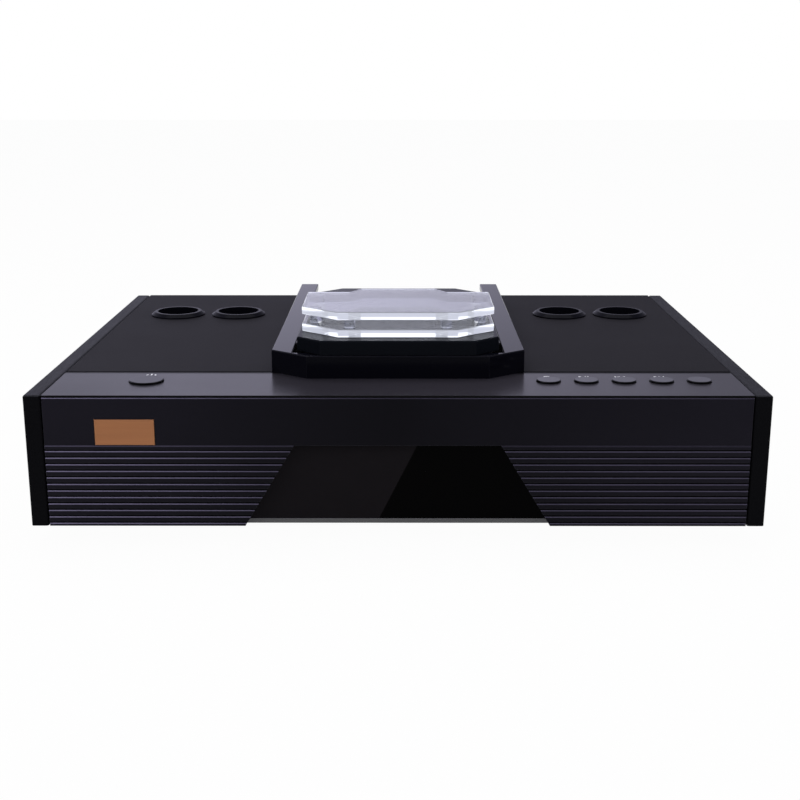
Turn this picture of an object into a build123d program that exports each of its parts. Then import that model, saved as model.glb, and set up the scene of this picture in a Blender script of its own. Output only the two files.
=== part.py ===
from build123d import *
import os
from math import cos, pi, radians, sin

os.makedirs("parts", exist_ok=True)

# A top-loading disc player with a sliding door, in millimetres.
# X runs left to right, the front faces -Y, Z is up, and the feet stand on Z = 0.

# Case
body_width = 430.0
body_depth = 330.0
body_height = 79.0
foot_height = 12.0
side_plate = 10.0
side_round = 1.4
tray_sheet = 1.5
tray_wall = 22.0
back_sheet = 2.0
cover_sheet = 1.5
cover_flange = 10.0
seam = 0.8
fit = 0.3

# Front panel
panel_thickness = 12.0
band_height = 30.0
band_recess = 0.6
lip = 1.6
lip_round = 0.8
groove_count = 12
groove_pitch = 4.0
first_groove = 3.5
groove_width = 1.1
groove_depth = 1.3
groove_bevel = 0.5
window_top_half = 60.0
window_slope = 0.6
window_recess = 5.3
window_thickness = 3.0
sill_height = 2.8
aperture_width = 90.0
aperture_height = 26.0
aperture_rise = 12.0
display_board_margin = 8.0
badge_width = 34.5
badge_height = 15.3
badge_thickness = 1.0
badge_inlay = 0.4
badge_inset = 57.5
badge_drop = 22.0

# Control strip and its buttons
strip_thickness = 4.0
strip_gap = 1.8
strip_depth = 52.6
strip_lap = 6.0
button_setback = 34.4
button_proud = 1.3
button_travel = 1.5
button_round = 0.4
collar_width = 1.3
collar_thickness = 1.2
stem_radius = 2.0
switch_height = 2.6
plunger_height = 0.8
power_radius = 10.3
power_inset = 64.7
key_radius = 7.2
key_inset = 34.9
key_pitch = 22.5
key_count = 5
board_thickness = 1.6
board_depth = 24.0
board_drop = 15.4
boss_radius = 3.5
boss_gap = 2.0
switch_size = 6.2
plunger_radius = 1.7

# Disc bay on the cover
disc_radius = 60.0
well_clearance = 1.0
well_wall = 3.4
rail_width = 13.2
bay_height = 14.0
bay_setback = 41.0
bay_length = 261.0
bay_front_half = 55.0
bay_chamfer = 17.5
bay_edge = 0.5
bar_depth = 9.0
groove_setback = 34.0
rail_groove_height = 3.0
rail_groove_depth = 2.4
deck_rise = 5.5
deck_floor = 1.0
deck_rim = 2.7
scoop_radius = 11.0
scoop_depth = 3.0

# Sliding door
door_setback = 1.0
door_thickness = 8.7
door_length = 187.0
door_play = 2.9
door_front_half = 46.8
door_front_chamfer = 13.0
door_rear_half = 41.9
door_rear_chamfer = 20.0
door_edge = 0.6
runner_web = 3.0
runner_inset = 4.0
glass_setback = 9.7
glass_thickness = 4.85
glass_gap = 5.8
glass_half = 59.5
glass_front_half = 36.5
glass_chamfer = 20.3
glass_depth = 72.0
glass_edge = 0.4
tab_front_half = 32.0
tab_rear_half = 24.4
tab_depth = 13.2
post_radius = 3.5
bond_gap = 0.05

# Disc drive below the deck
chassis_drop = 11.0
chassis_thickness = 2.0
chassis_half = 52.0
suspension_x = 45.0
suspension_front = 46.0
suspension_rear = 78.0
suspension_margin = 7.0
shaft_radius = 1.0
running_gap = 0.05
hub_radius = 15.0
hub_seat_rise = 2.2
hub_flange = 2.4
hub_boss_radius = 7.4
hub_boss_height = 3.4
clamp_radius = 16.5
clamp_height = 8.5
motor_radius = 13.0
motor_height = 14.0
rod_radius = 1.5
rod_x = 27.0
rod_rise = 5.9
rod_front = 10.0
rod_rear = 74.0
rod_post = 5.0
sled_half = 31.0
sled_length = 18.0
sled_lift = 3.3
sled_thickness = 5.2
optics_half = 13.0
optics_drop = 11.0
lens_radius = 3.0
turret_radius = 4.5
inner_track = 24.0
outer_track = 58.0
gear_module = 0.5
rack_teeth = 30
rack_base = 2.0
pinion_teeth = 14
gear_teeth = 40
motor_teeth = 10
gear_thickness = 2.0
gear_lift = 0.3
motor_bearing = 61.0
sled_motor_radius = 7.0
sled_motor_height = 15.0

# Valves, boards and the power supply
vent_inset = 47.8
vent_pitch = 45.7
vent_setback = 246.0
vent_bore = 15.15
vent_flange = 20.0
vent_rise = 3.0
vent_neck = 1.2
vent_neck_drop = 6.0
tube_radius = 10.5
tube_height = 45.0
socket_radius = 11.5
socket_height = 9.0
board_lift = 8.5
standoff_radius = 3.0
transformer_radius = 50.0
transformer_bore = 14.0
transformer_height = 42.0
transformer_inset = 75.0
transformer_setback = 122.0
capacitor_radius = 11.0
capacitor_height = 40.0

# Rear connectors, feet and screws
jack_reach = 14.0
jack_height = 42.0
jack_barrel = 4.15
jack_thread = 5.0
inlet_inset = 65.0
rca_inset = 73.0
rca_pitch = 24.0
coax_pitch = 30.0
optical_pitch = 24.0
foot_radius = 22.0
foot_inset_x = 42.0
foot_inset_y = 58.0
pad_thickness = 2.2
pad_proud = 1.2
foot_seat = 6.0
screw_radius = 1.5
screw_head = 2.8
screw_head_height = 1.9
screw_gap = 0.1

# Planes and lines that several pieces share
body_half = body_width / 2
inner_half = body_half - side_plate
panel_half = inner_half - seam
front_y = -(body_depth + jack_reach) / 2
rear_y = front_y + body_depth
base_z = foot_height
top_z = base_z + body_height
floor_z = base_z + tray_sheet
cover_under = top_z - cover_sheet
strip_under = top_z - strip_thickness
panel_back = front_y + panel_thickness
back_front = rear_y - back_sheet
strip_front = front_y + band_recess + lip + strip_gap
strip_back = strip_front + strip_depth
button_y = front_y + button_setback
band_z = top_z - band_height

well_radius = disc_radius + well_clearance
rail_inner = well_radius + well_wall
rail_outer = rail_inner + rail_width
bay_front = front_y + bay_setback
bay_back = bay_front + bay_length
bay_top = top_z + bay_height
bar_back = bay_front + bar_depth
deck_front = bar_back + fit
deck_top = top_z + deck_rise
well_y = deck_front + deck_rim + well_radius
rail_groove_z = deck_top + 1.0

door_bottom = bay_top + fit
door_top = door_bottom + door_thickness
door_half = rail_inner - door_play
door_front = bay_front + door_setback
glass_front = door_front + glass_setback
lower_glass_bottom = door_top + bond_gap
lower_glass_top = lower_glass_bottom + glass_thickness
upper_glass_bottom = lower_glass_top + glass_gap

chassis_top = top_z - chassis_drop
chassis_under = chassis_top - chassis_thickness
hub_seat = top_z + hub_seat_rise
sled_bottom = chassis_top + sled_lift
sled_top = sled_bottom + sled_thickness
rod_z = chassis_top + rod_rise
lens_top = top_z + deck_floor - 0.2

vent_outer_x = body_half - vent_inset
vent_inner_x = vent_outer_x - vent_pitch
vent_y = front_y + vent_setback
vent_points = [(sign * x, vent_y) for sign, x in
               ((-1, vent_outer_x), (-1, vent_inner_x), (1, vent_inner_x), (1, vent_outer_x))]
board_z = floor_z + board_lift
board_top = board_z + board_thickness

pieces = {}


def facing_front(y):
    """The upright plane at depth y, drawn in X and Z, that extrudes towards the front."""
    return Plane(origin=(0, y, 0), x_dir=(1, 0, 0), z_dir=(0, -1, 0))


def turned(profile, points):
    """Equal pieces turned on a lathe from one half profile of radius and height."""
    with BuildPart() as shape:
        with BuildSketch(Plane.XZ):
            Polygon(*profile, align=None)
        revolve(axis=Axis.Z)
    with BuildPart() as group:
        with Locations(*points):
            add(shape.part)
    return group


def discs(z, radius, height, points, mode=Mode.ADD):
    """Upright round bars or bores of one radius, standing on z at each of the points."""
    with BuildSketch(Plane.XY.offset(z)) as rounds:
        with Locations(*points):
            Circle(radius)
    extrude(rounds.sketch, amount=height, mode=mode)


# Side plates: thick slabs with eased edges, drilled blind on the inside for the tray's screws
side_screw_inset = 40.0
side_screw_y = [front_y + side_screw_inset, front_y + body_depth / 2, rear_y - side_screw_inset]
side_screw_z = base_z + tray_wall * 0.6
side_screw_length = 8.0
for side, sign in (("left", -1), ("right", 1)):
    with BuildPart() as plate:
        with BuildSketch(Plane.XY.offset(base_z)):
            with Locations((sign * (inner_half + side_plate / 2), front_y + body_depth / 2)):
                Rectangle(side_plate, body_depth)
        extrude(amount=body_height)
        fillet(plate.edges().group_by(Axis.Z)[-1] + plate.edges().filter_by(Axis.Z), side_round)
        with BuildSketch(Plane.YZ.offset(sign * inner_half)):
            with Locations(*[(y, side_screw_z) for y in side_screw_y]):
                Circle(screw_radius + screw_gap)
        extrude(amount=sign * side_screw_length, mode=Mode.SUBTRACT)
    pieces[f"side_plate_{side}"] = plate

# Base tray: folded sheet with open corners, slots for air and a gap for the display's board
foot_points = [(sx * (body_half - foot_inset_x), y) for sx in (-1, 1)
               for y in (front_y + foot_inset_y, rear_y - foot_inset_y)]
foot_screw = 2.0
tray_depth = back_front - panel_back
tray_y = (back_front + panel_back) / 2
corner_relief = 2 * tray_sheet + 2.0
display_half = aperture_width / 2 + display_board_margin
rear_screw_inset = 30.0
rear_screw_inner = 62.0
rear_screw_outer = body_half - rear_screw_inset
rear_screw_x = [-rear_screw_outer, -rear_screw_inner, rear_screw_inner, rear_screw_outer]
rear_screw_low = base_z + tray_wall / 2
rear_screw_high = cover_under - cover_flange / 2
slot_length = 44.0
slot_inset = 25.0
tube_board_x = (vent_inner_x + vent_outer_x) / 2
slot_width = 4.0
slot_pitch = 12.0
with BuildPart() as base_tray:
    with BuildSketch(Plane.XY.offset(base_z)):
        with Locations((0, tray_y)):
            Rectangle(2 * inner_half, tray_depth)
    extrude(amount=tray_wall)
    with BuildSketch(Plane.XY.offset(floor_z)):
        with Locations((0, tray_y)):
            Rectangle(2 * (inner_half - tray_sheet), tray_depth - 2 * tray_sheet)
    extrude(amount=tray_wall, mode=Mode.SUBTRACT)
    with BuildSketch(Plane.XY.offset(base_z)):
        with Locations((0, tray_y)):
            with GridLocations(2 * inner_half, tray_depth, 2, 2):
                Rectangle(corner_relief, corner_relief)
    extrude(amount=tray_wall, mode=Mode.SUBTRACT)
    with BuildSketch(Plane.XY.offset(floor_z)):
        with Locations((0, panel_back)):
            Rectangle(2 * (display_half + 1.0), 4 * tray_sheet)
    extrude(amount=tray_wall, mode=Mode.SUBTRACT)
    with BuildSketch(Plane.XY.offset(base_z)):
        for x in (-tube_board_x, tube_board_x):
            with Locations((x, rear_y - slot_inset)):
                with GridLocations(slot_length + slot_pitch, slot_pitch, 1, 2):
                    SlotOverall(slot_length, slot_width)
        with Locations((0, well_y + 10.0)):
            with GridLocations(slot_length + slot_pitch, slot_pitch, 1, 5):
                SlotOverall(slot_length, slot_width)
        with Locations(*foot_points):
            Circle(foot_screw + screw_gap)
    extrude(amount=tray_sheet, mode=Mode.SUBTRACT)
    with BuildSketch(Plane.YZ.offset(-inner_half)):
        with Locations(*[(y, side_screw_z) for y in side_screw_y]):
            Circle(screw_radius + screw_gap)
    extrude(amount=2 * inner_half, mode=Mode.SUBTRACT)
    with BuildSketch(facing_front(back_front)):
        with Locations(*[(x, rear_screw_low) for x in rear_screw_x]):
            Circle(screw_radius + screw_gap)
    extrude(amount=tray_sheet, mode=Mode.SUBTRACT)
pieces["base_tray"] = base_tray


def window_outline(low, high, gap):
    """The trapezoid of the display window between two heights, drawn gap inside its pocket."""
    def half(z):
        return window_top_half + window_slope * (band_z - z) - gap
    return [(-half(low), low), (half(low), low), (half(high), high), (-half(high), high)]


# Front panel: one extruded profile with a rounded lip, a set-back band and twelve grooves
groove_profile = [(-1.0, groove_width / 2), (groove_depth, groove_width / 2),
                  (groove_depth, -groove_width / 2), (groove_bevel, -groove_width / 2),
                  (0, -groove_width / 2 - groove_bevel), (-1.0, -groove_width / 2 - groove_bevel)]
pocket_depth = window_recess + window_thickness
aperture_z = base_z + aperture_rise + aperture_height / 2
badge_x = badge_inset - body_half
badge_z = top_z - badge_drop
panel_top_back = strip_under - fit
with BuildPart() as front_panel:
    with BuildSketch(Plane.YZ.offset(-panel_half)):
        with BuildLine():
            Polyline(
                (front_y, base_z),
                (front_y, band_z - band_recess),
                (front_y + band_recess, band_z),
                (front_y + band_recess, top_z - lip_round),
            )
            RadiusArc(
                (front_y + band_recess, top_z - lip_round),
                (front_y + band_recess + lip_round, top_z),
                lip_round,
            )
            Polyline(
                (front_y + band_recess + lip_round, top_z),
                (front_y + band_recess + lip, top_z),
                (front_y + band_recess + lip, panel_top_back),
                (panel_back, panel_top_back),
                (panel_back, base_z),
                (front_y, base_z),
            )
        make_face()
        for index in range(groove_count):
            groove_z = band_z - first_groove - index * groove_pitch
            with Locations((front_y, groove_z)):
                Polygon(*groove_profile, align=None, mode=Mode.SUBTRACT)
    extrude(amount=2 * panel_half)
    with BuildSketch(facing_front(front_y - 1.0)):
        Polygon(*window_outline(base_z - 1.0, band_z, 0), align=None)
    extrude(amount=-(pocket_depth + 1.0), mode=Mode.SUBTRACT)
    with BuildSketch(facing_front(front_y)):
        with Locations((0, aperture_z)):
            Rectangle(aperture_width, aperture_height)
    extrude(amount=-panel_thickness, mode=Mode.SUBTRACT)
    with BuildSketch(facing_front(front_y)):
        with Locations((badge_x, badge_z)):
            Rectangle(badge_width + 4 * screw_gap, badge_height + 4 * screw_gap)
    extrude(amount=-(band_recess + badge_inlay), mode=Mode.SUBTRACT)
pieces["front_panel"] = front_panel

# Display window: a smoked slab set back in the panel, with a metal sill under it
with BuildPart() as display_window:
    with BuildSketch(facing_front(front_y + window_recess)):
        Polygon(*window_outline(base_z + sill_height, band_z - fit, fit), align=None)
    extrude(amount=-window_thickness)
pieces["display_window"] = display_window

with BuildPart() as window_sill:
    with BuildSketch(facing_front(front_y + window_recess)):
        Polygon(*window_outline(base_z, base_z + sill_height, fit), align=None)
    extrude(amount=-window_thickness)
pieces["window_sill"] = window_sill

# Display: a flat glass tube in the panel's aperture, soldered to a board on the panel's back
display_front = front_y + pocket_depth + fit
display_glass_margin = 1.5
with BuildPart() as display_tube:
    with BuildSketch(facing_front(panel_back)):
        with Locations((0, aperture_z)):
            Rectangle(aperture_width - 2 * display_glass_margin, aperture_height - 2 * display_glass_margin)
    extrude(amount=panel_back - display_front)
    chamfer(display_tube.faces().sort_by(Axis.Y)[0].edges(), 0.5)
pieces["display_tube"] = display_tube

with BuildPart() as display_board:
    with BuildSketch(facing_front(panel_back)):
        with Locations((0, aperture_z)):
            Rectangle(2 * display_half, aperture_height + display_board_margin)
            with GridLocations(2 * display_half - 8.0, aperture_height, 2, 2):
                Circle(screw_radius, mode=Mode.SUBTRACT)
    extrude(amount=-board_thickness)
pieces["display_board"] = display_board

# Badge plate: a bare metal plate let into the panel's band
with BuildPart() as badge_plate:
    with BuildSketch(facing_front(front_y + band_recess + badge_inlay)):
        with Locations((badge_x, badge_z)):
            Rectangle(badge_width, badge_height)
    extrude(amount=badge_thickness)
    chamfer(badge_plate.faces().sort_by(Axis.Y)[0].edges(), 0.25)
pieces["badge_plate"] = badge_plate

# Control strip: a plate with button bores, bosses for the switch boards and a lap under the cover
power_x = power_inset - body_half
key_last_x = body_half - key_inset
key_x = [key_last_x - (key_count - 1 - index) * key_pitch for index in range(key_count)]
buttons = [("power_button", power_x, power_radius)]
buttons += [(f"control_button_{index + 1}", x, key_radius) for index, x in enumerate(key_x)]
power_boss = power_radius + collar_width + boss_radius + boss_gap
key_boss = key_radius + collar_width + boss_radius + boss_gap
boss_x = [power_x - power_boss, power_x + power_boss, key_x[0] - key_boss, key_x[-1] + key_boss]
switch_board_z = strip_under - board_drop
lap_half = panel_half - cover_sheet - 8.0
with BuildPart() as control_strip:
    with BuildSketch(Plane.XY.offset(strip_under)):
        with Locations((0, (strip_front + strip_back) / 2)):
            Rectangle(2 * panel_half, strip_depth)
    extrude(amount=strip_thickness)
    with BuildSketch(Plane.XY.offset(strip_under)):
        with Locations((0, strip_back + strip_lap / 2)):
            Rectangle(2 * lap_half, strip_lap)
    extrude(amount=cover_under - strip_under)
    discs(switch_board_z, boss_radius, board_drop, [(x, button_y) for x in boss_x])
    for name, x, radius in buttons:
        discs(strip_under, radius + fit, strip_thickness, [(x, button_y)], Mode.SUBTRACT)
pieces["control_strip"] = control_strip

# Buttons: turned caps that stand proud, with a collar under the strip and a stem to the switch
stem_end = switch_board_z + switch_height + plunger_height + button_travel + fit
cap_top = top_z + button_proud
collar_top = strip_under - fit
for name, x, radius in buttons:
    profile = [
        (0, stem_end),
        (stem_radius, stem_end),
        (stem_radius, collar_top - collar_thickness),
        (radius + collar_width, collar_top - collar_thickness),
        (radius + collar_width, collar_top),
        (radius, collar_top),
        (radius, cap_top - button_round),
        (radius - button_round, cap_top),
        (0, cap_top),
    ]
    pieces[name] = turned(profile, [(x, button_y)])

# Switch boards hang on the strip's bosses, one under the power button and one under the row
switch_boards_x = [(boss_x[0], boss_x[1]), (boss_x[2], boss_x[3])]
with BuildPart() as switch_boards:
    for low, high in switch_boards_x:
        with BuildSketch(Plane.XY.offset(switch_board_z - board_thickness)):
            with Locations(((low + high) / 2, button_y)):
                Rectangle(high - low + 2 * boss_radius + 2.0, board_depth)
            with Locations((low, button_y), (high, button_y)):
                Circle(screw_radius, mode=Mode.SUBTRACT)
        extrude(amount=board_thickness)
pieces["switch_boards"] = switch_boards

switch_points = [(x, button_y) for name, x, radius in buttons]
with BuildPart() as key_switches:
    with BuildSketch(Plane.XY.offset(switch_board_z)):
        with Locations(*switch_points):
            Rectangle(switch_size, switch_size)
    extrude(amount=switch_height)
    discs(switch_board_z + switch_height, plunger_radius, plunger_height, switch_points)
pieces["key_switches"] = key_switches

# Top cover: folded sheet with bores for the vents and openings for the hub, lens and hangers
suspension_points = [(sx * suspension_x, well_y + y) for sx in (-1, 1)
                     for y in (-suspension_front, suspension_rear)]
collar_radius = 3.5
hub_opening = hub_radius + 3.0
slot_half = turret_radius + 2.5
slot_end = outer_track + turret_radius + 1.0
cover_front = strip_back + strip_gap
with BuildPart() as top_cover:
    with BuildSketch(Plane.XY.offset(cover_under)):
        with Locations((0, (cover_front + rear_y) / 2)):
            Rectangle(2 * panel_half, rear_y - cover_front)
    extrude(amount=cover_sheet)
    for sign in (-1, 1):
        with BuildSketch(Plane.XY.offset(cover_under)):
            with Locations((sign * (panel_half - cover_sheet / 2), (cover_front + back_front) / 2)):
                Rectangle(cover_sheet, back_front - cover_front - 4 * cover_sheet)
        extrude(amount=-cover_flange)
    with BuildSketch(Plane.XY.offset(cover_under)):
        with Locations((0, back_front - cover_sheet / 2)):
            Rectangle(2 * (panel_half - 4 * cover_sheet), cover_sheet)
    extrude(amount=-cover_flange)
    discs(cover_under, vent_bore + vent_neck + fit, cover_sheet, vent_points, Mode.SUBTRACT)
    discs(cover_under, hub_opening, cover_sheet, [(0, well_y)], Mode.SUBTRACT)
    discs(cover_under, collar_radius + 2 * fit, cover_sheet, suspension_points, Mode.SUBTRACT)
    with BuildSketch(Plane.XY.offset(cover_under)):
        with Locations((0, well_y + slot_end / 2)):
            Rectangle(2 * slot_half, slot_end)
    extrude(amount=cover_sheet, mode=Mode.SUBTRACT)
    with BuildSketch(facing_front(back_front)):
        with Locations(*[(x, rear_screw_high) for x in rear_screw_x]):
            Circle(screw_radius + screw_gap)
    extrude(amount=cover_sheet, mode=Mode.SUBTRACT)
pieces["top_cover"] = top_cover

# Vent rings: turned collars over the valves, with a conical rim and a neck through the cover
for index, point in enumerate(vent_points):
    profile = [
        (vent_bore, cover_under - vent_neck_drop),
        (vent_bore + vent_neck, cover_under - vent_neck_drop),
        (vent_bore + vent_neck, top_z),
        (vent_flange, top_z),
        (vent_flange, top_z + 0.3 * vent_rise),
        (vent_bore + vent_neck + 0.8, top_z + vent_rise),
        (vent_bore, top_z + vent_rise),
    ]
    pieces[f"vent_ring_{index + 1}"] = turned(profile, [point])

# Back panel with the connectors' cut-outs
jack_z = base_z + jack_height
rca_right_x = body_half - rca_inset
rca_x = [rca_right_x - rca_pitch, rca_right_x]
coax_x = rca_x[0] - coax_pitch
optical_x = coax_x - optical_pitch
inlet_x = inlet_inset - body_half
optical_width = 13.0
optical_height = 11.0
inlet_width = 28.0
inlet_height = 20.5
inlet_flange_width = 50.0
inlet_flange_height = 24.0
with BuildPart() as back_panel:
    with BuildSketch(facing_front(rear_y)):
        with Locations((0, (base_z + cover_under) / 2)):
            Rectangle(2 * panel_half, cover_under - base_z)
        with Locations(*[(x, jack_z) for x in (*rca_x, coax_x)]):
            Circle(jack_thread + 2 * screw_gap, mode=Mode.SUBTRACT)
        with Locations((optical_x, jack_z)):
            Rectangle(optical_width + 0.2, optical_height + 0.2, mode=Mode.SUBTRACT)
        with Locations((inlet_x, jack_z)):
            Rectangle(inlet_width + 0.4, inlet_height + 0.4, mode=Mode.SUBTRACT)
        with Locations(*[(x, z) for x in rear_screw_x for z in (rear_screw_low, rear_screw_high)]):
            Circle(screw_radius + screw_gap, mode=Mode.SUBTRACT)
    extrude(amount=back_sheet)
pieces["back_panel"] = back_panel

# Disc bay frame: a front bar with mitred corners and two rails, grooved inside for the runners
bay_outline = [
    (-bay_front_half, bay_front),
    (bay_front_half, bay_front),
    (rail_outer, bay_front + bay_chamfer),
    (rail_outer, bay_back),
    (rail_inner, bay_back),
    (rail_inner, bar_back),
    (-rail_inner, bar_back),
    (-rail_inner, bay_back),
    (-rail_outer, bay_back),
    (-rail_outer, bay_front + bay_chamfer),
]
rail_groove_front = bay_front + groove_setback
with BuildPart() as bay_frame:
    with BuildSketch(Plane.XY.offset(top_z)):
        Polygon(*bay_outline, align=None)
    extrude(amount=bay_height)
    outer_rim = bay_frame.edges().group_by(Axis.Z)[-1]
    chamfer(outer_rim, bay_edge)
    with BuildSketch(Plane.XY.offset(rail_groove_z)):
        with Locations((0, (rail_groove_front + bay_back) / 2)):
            Rectangle(2 * (rail_inner + rail_groove_depth), bay_back - rail_groove_front)
    extrude(amount=rail_groove_height, mode=Mode.SUBTRACT)
pieces["bay_frame"] = bay_frame

# Bay deck: the disc's well with finger scoops, a bore for the hub and a slot for the lens
scoop_points = [(well_radius * cos(radians(angle)), well_y + well_radius * sin(radians(angle)))
                for angle in (45, 135, 225, 315)]
with BuildPart() as bay_deck:
    with BuildSketch(Plane.XY.offset(top_z)):
        with Locations((0, (deck_front + bay_back) / 2)):
            Rectangle(2 * (rail_inner - fit), bay_back - deck_front)
    extrude(amount=deck_rise)
    discs(top_z + deck_floor, well_radius, deck_rise, [(0, well_y)], Mode.SUBTRACT)
    discs(deck_top - scoop_depth, scoop_radius, scoop_depth, scoop_points, Mode.SUBTRACT)
    discs(top_z, hub_opening, deck_floor, [(0, well_y)], Mode.SUBTRACT)
    with BuildSketch(Plane.XY.offset(top_z)):
        with Locations((0, well_y + slot_end / 2)):
            Rectangle(2 * slot_half, slot_end)
    extrude(amount=deck_floor, mode=Mode.SUBTRACT)
pieces["bay_deck"] = bay_deck

# Door plate: a long octagon that slides back over the rails
door_back = door_front + door_length
door_outline = [
    (-door_front_half, door_front),
    (door_front_half, door_front),
    (door_half, door_front + door_front_chamfer),
    (door_half, door_back - door_rear_chamfer),
    (door_rear_half, door_back),
    (-door_rear_half, door_back),
    (-door_half, door_back - door_rear_chamfer),
    (-door_half, door_front + door_front_chamfer),
]
with BuildPart() as door_plate:
    with BuildSketch(Plane.XY.offset(door_bottom)):
        Polygon(*door_outline, align=None)
    extrude(amount=door_thickness)
    chamfer(door_plate.edges().group_by(Axis.Z)[-1], door_edge)
pieces["door_plate"] = door_plate

# Door runners: angled slides under the door, with a tongue in each rail's groove
runner_front = rail_groove_front + 2.0
runner_back = door_back - door_rear_chamfer - runner_inset
runner_low = rail_groove_z + fit
runner_outer = rail_inner - fit
with BuildPart() as door_runners:
    for sign in (-1, 1):
        runner_section = [
            (sign * (runner_outer - runner_web), runner_low),
            (sign * (rail_inner + rail_groove_depth - fit), runner_low),
            (sign * (rail_inner + rail_groove_depth - fit), rail_groove_z + rail_groove_height - fit),
            (sign * runner_outer, rail_groove_z + rail_groove_height - fit),
            (sign * runner_outer, door_bottom),
            (sign * (runner_outer - runner_web), door_bottom),
        ]
        with BuildSketch(facing_front(runner_back)):
            Polygon(*runner_section, align=None)
        extrude(amount=runner_back - runner_front)
pieces["door_runners"] = door_runners

# Clear grip on the door: two polished plates of one outline, bonded to the door and to clear posts
glass_side_back = glass_front + glass_depth
glass_outline = [
    (-glass_front_half, glass_front),
    (glass_front_half, glass_front),
    (glass_half, glass_front + glass_chamfer),
    (glass_half, glass_side_back),
    (tab_front_half, glass_side_back),
    (tab_rear_half, glass_side_back + tab_depth),
    (-tab_rear_half, glass_side_back + tab_depth),
    (-tab_front_half, glass_side_back),
    (-glass_half, glass_side_back),
    (-glass_half, glass_front + glass_chamfer),
]
for name, low in (("door_lower_glass", lower_glass_bottom), ("door_upper_glass", upper_glass_bottom)):
    with BuildPart() as glass:
        with BuildSketch(Plane.XY.offset(low)):
            Polygon(*glass_outline, align=None)
        extrude(amount=glass_thickness)
        rims = glass.edges().group_by(Axis.Z)
        chamfer(rims[0] + rims[-1], glass_edge)
    pieces[name] = glass

post_edge = 2 * post_radius
post_points = [(sx * x, y) for sx in (-1, 1) for x, y in (
    (glass_front_half - post_edge, glass_front + post_edge),
    (glass_half - 1.2 * post_edge, glass_front + glass_chamfer + post_edge / 2),
    (glass_half - 1.2 * post_edge, glass_side_back - post_edge),
)]
with BuildPart() as door_glass_posts:
    discs(lower_glass_top + bond_gap, post_radius, glass_gap - 2 * bond_gap, post_points)
pieces["door_glass_posts"] = door_glass_posts

# Drive chassis: a plate with rod posts, hung on rubber from the deck
chassis_front = well_y - suspension_front - suspension_margin
chassis_back = well_y + suspension_rear + suspension_margin
rod_posts = [(sx * rod_x, well_y + y) for sx in (-1, 1) for y in (rod_front, rod_rear)]
grommet_waist = 4.3
pinion_radius = gear_module * pinion_teeth / 2
gear_radius = gear_module * gear_teeth / 2
motor_pinion_radius = gear_module * motor_teeth / 2
addendum = 0.8 * gear_module
dedendum = 1.1 * gear_module
rack_pitch_x = sled_half + rack_base + dedendum
gear_x = rack_pitch_x + pinion_radius
gear_y = well_y + (inner_track + outer_track) / 2
motor_distance = gear_radius + motor_pinion_radius
motor_x = gear_x + motor_distance * cos(radians(-motor_bearing))
motor_y = gear_y + motor_distance * sin(radians(-motor_bearing))
pin_radius = 1.0
optics_gap = 4.0
optics_window = outer_track - inner_track + sled_length + optics_gap
bearing_radius = 3.8
motor_shaft_radius = 0.75
with BuildPart() as mech_chassis:
    with BuildSketch(Plane.XY.offset(chassis_under)):
        with Locations((0, (chassis_front + chassis_back) / 2)):
            RectangleRounded(2 * chassis_half, chassis_back - chassis_front, suspension_margin)
        with Locations((0, gear_y)):
            Rectangle(2 * (optics_half + optics_gap), optics_window, mode=Mode.SUBTRACT)
        with Locations(*suspension_points):
            Circle(grommet_waist, mode=Mode.SUBTRACT)
        with Locations((0, well_y)):
            Circle(bearing_radius + 2 * screw_gap, mode=Mode.SUBTRACT)
        with Locations((motor_x, motor_y)):
            Circle(motor_shaft_radius + fit, mode=Mode.SUBTRACT)
    extrude(amount=chassis_thickness)
    with BuildSketch(Plane.XY.offset(chassis_top)):
        with Locations(*rod_posts):
            Rectangle(6.0, rod_post)
    extrude(amount=rod_rise + rod_radius + 1.2)
    with BuildSketch(facing_front(well_y + rod_rear + rod_post)):
        with Locations((-rod_x, rod_z), (rod_x, rod_z)):
            Circle(rod_radius + running_gap)
    extrude(amount=rod_rear - rod_front + 2 * rod_post, mode=Mode.SUBTRACT)
    discs(chassis_top, pin_radius, sled_lift + sled_thickness, [(gear_x, gear_y)])
pieces["mech_chassis"] = mech_chassis

# Suspension: shouldered posts under the deck carry the chassis on waisted rubber grommets
grommet_radius = 6.0
grommet_lip = 2.3
grommet_bottom = chassis_under - grommet_lip
grommet_top = chassis_top + grommet_lip
hanger_radius = 2.2
hanger_head = 1.5
hanger_profile = [
    (0, grommet_bottom - hanger_head),
    (grommet_radius - 1.0, grommet_bottom - hanger_head),
    (grommet_radius - 1.0, grommet_bottom),
    (hanger_radius, grommet_bottom),
    (hanger_radius, grommet_top),
    (collar_radius, grommet_top),
    (collar_radius, top_z),
    (0, top_z),
]
pieces["suspension_posts"] = turned(hanger_profile, suspension_points)
grommet_profile = [
    (hanger_radius + screw_gap, grommet_bottom),
    (grommet_radius, grommet_bottom),
    (grommet_radius, chassis_under),
    (grommet_waist - screw_gap, chassis_under),
    (grommet_waist - screw_gap, chassis_top),
    (grommet_radius, chassis_top),
    (grommet_radius, grommet_top),
    (hanger_radius + screw_gap, grommet_top),
]
pieces["suspension_grommets"] = turned(grommet_profile, suspension_points)

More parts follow.
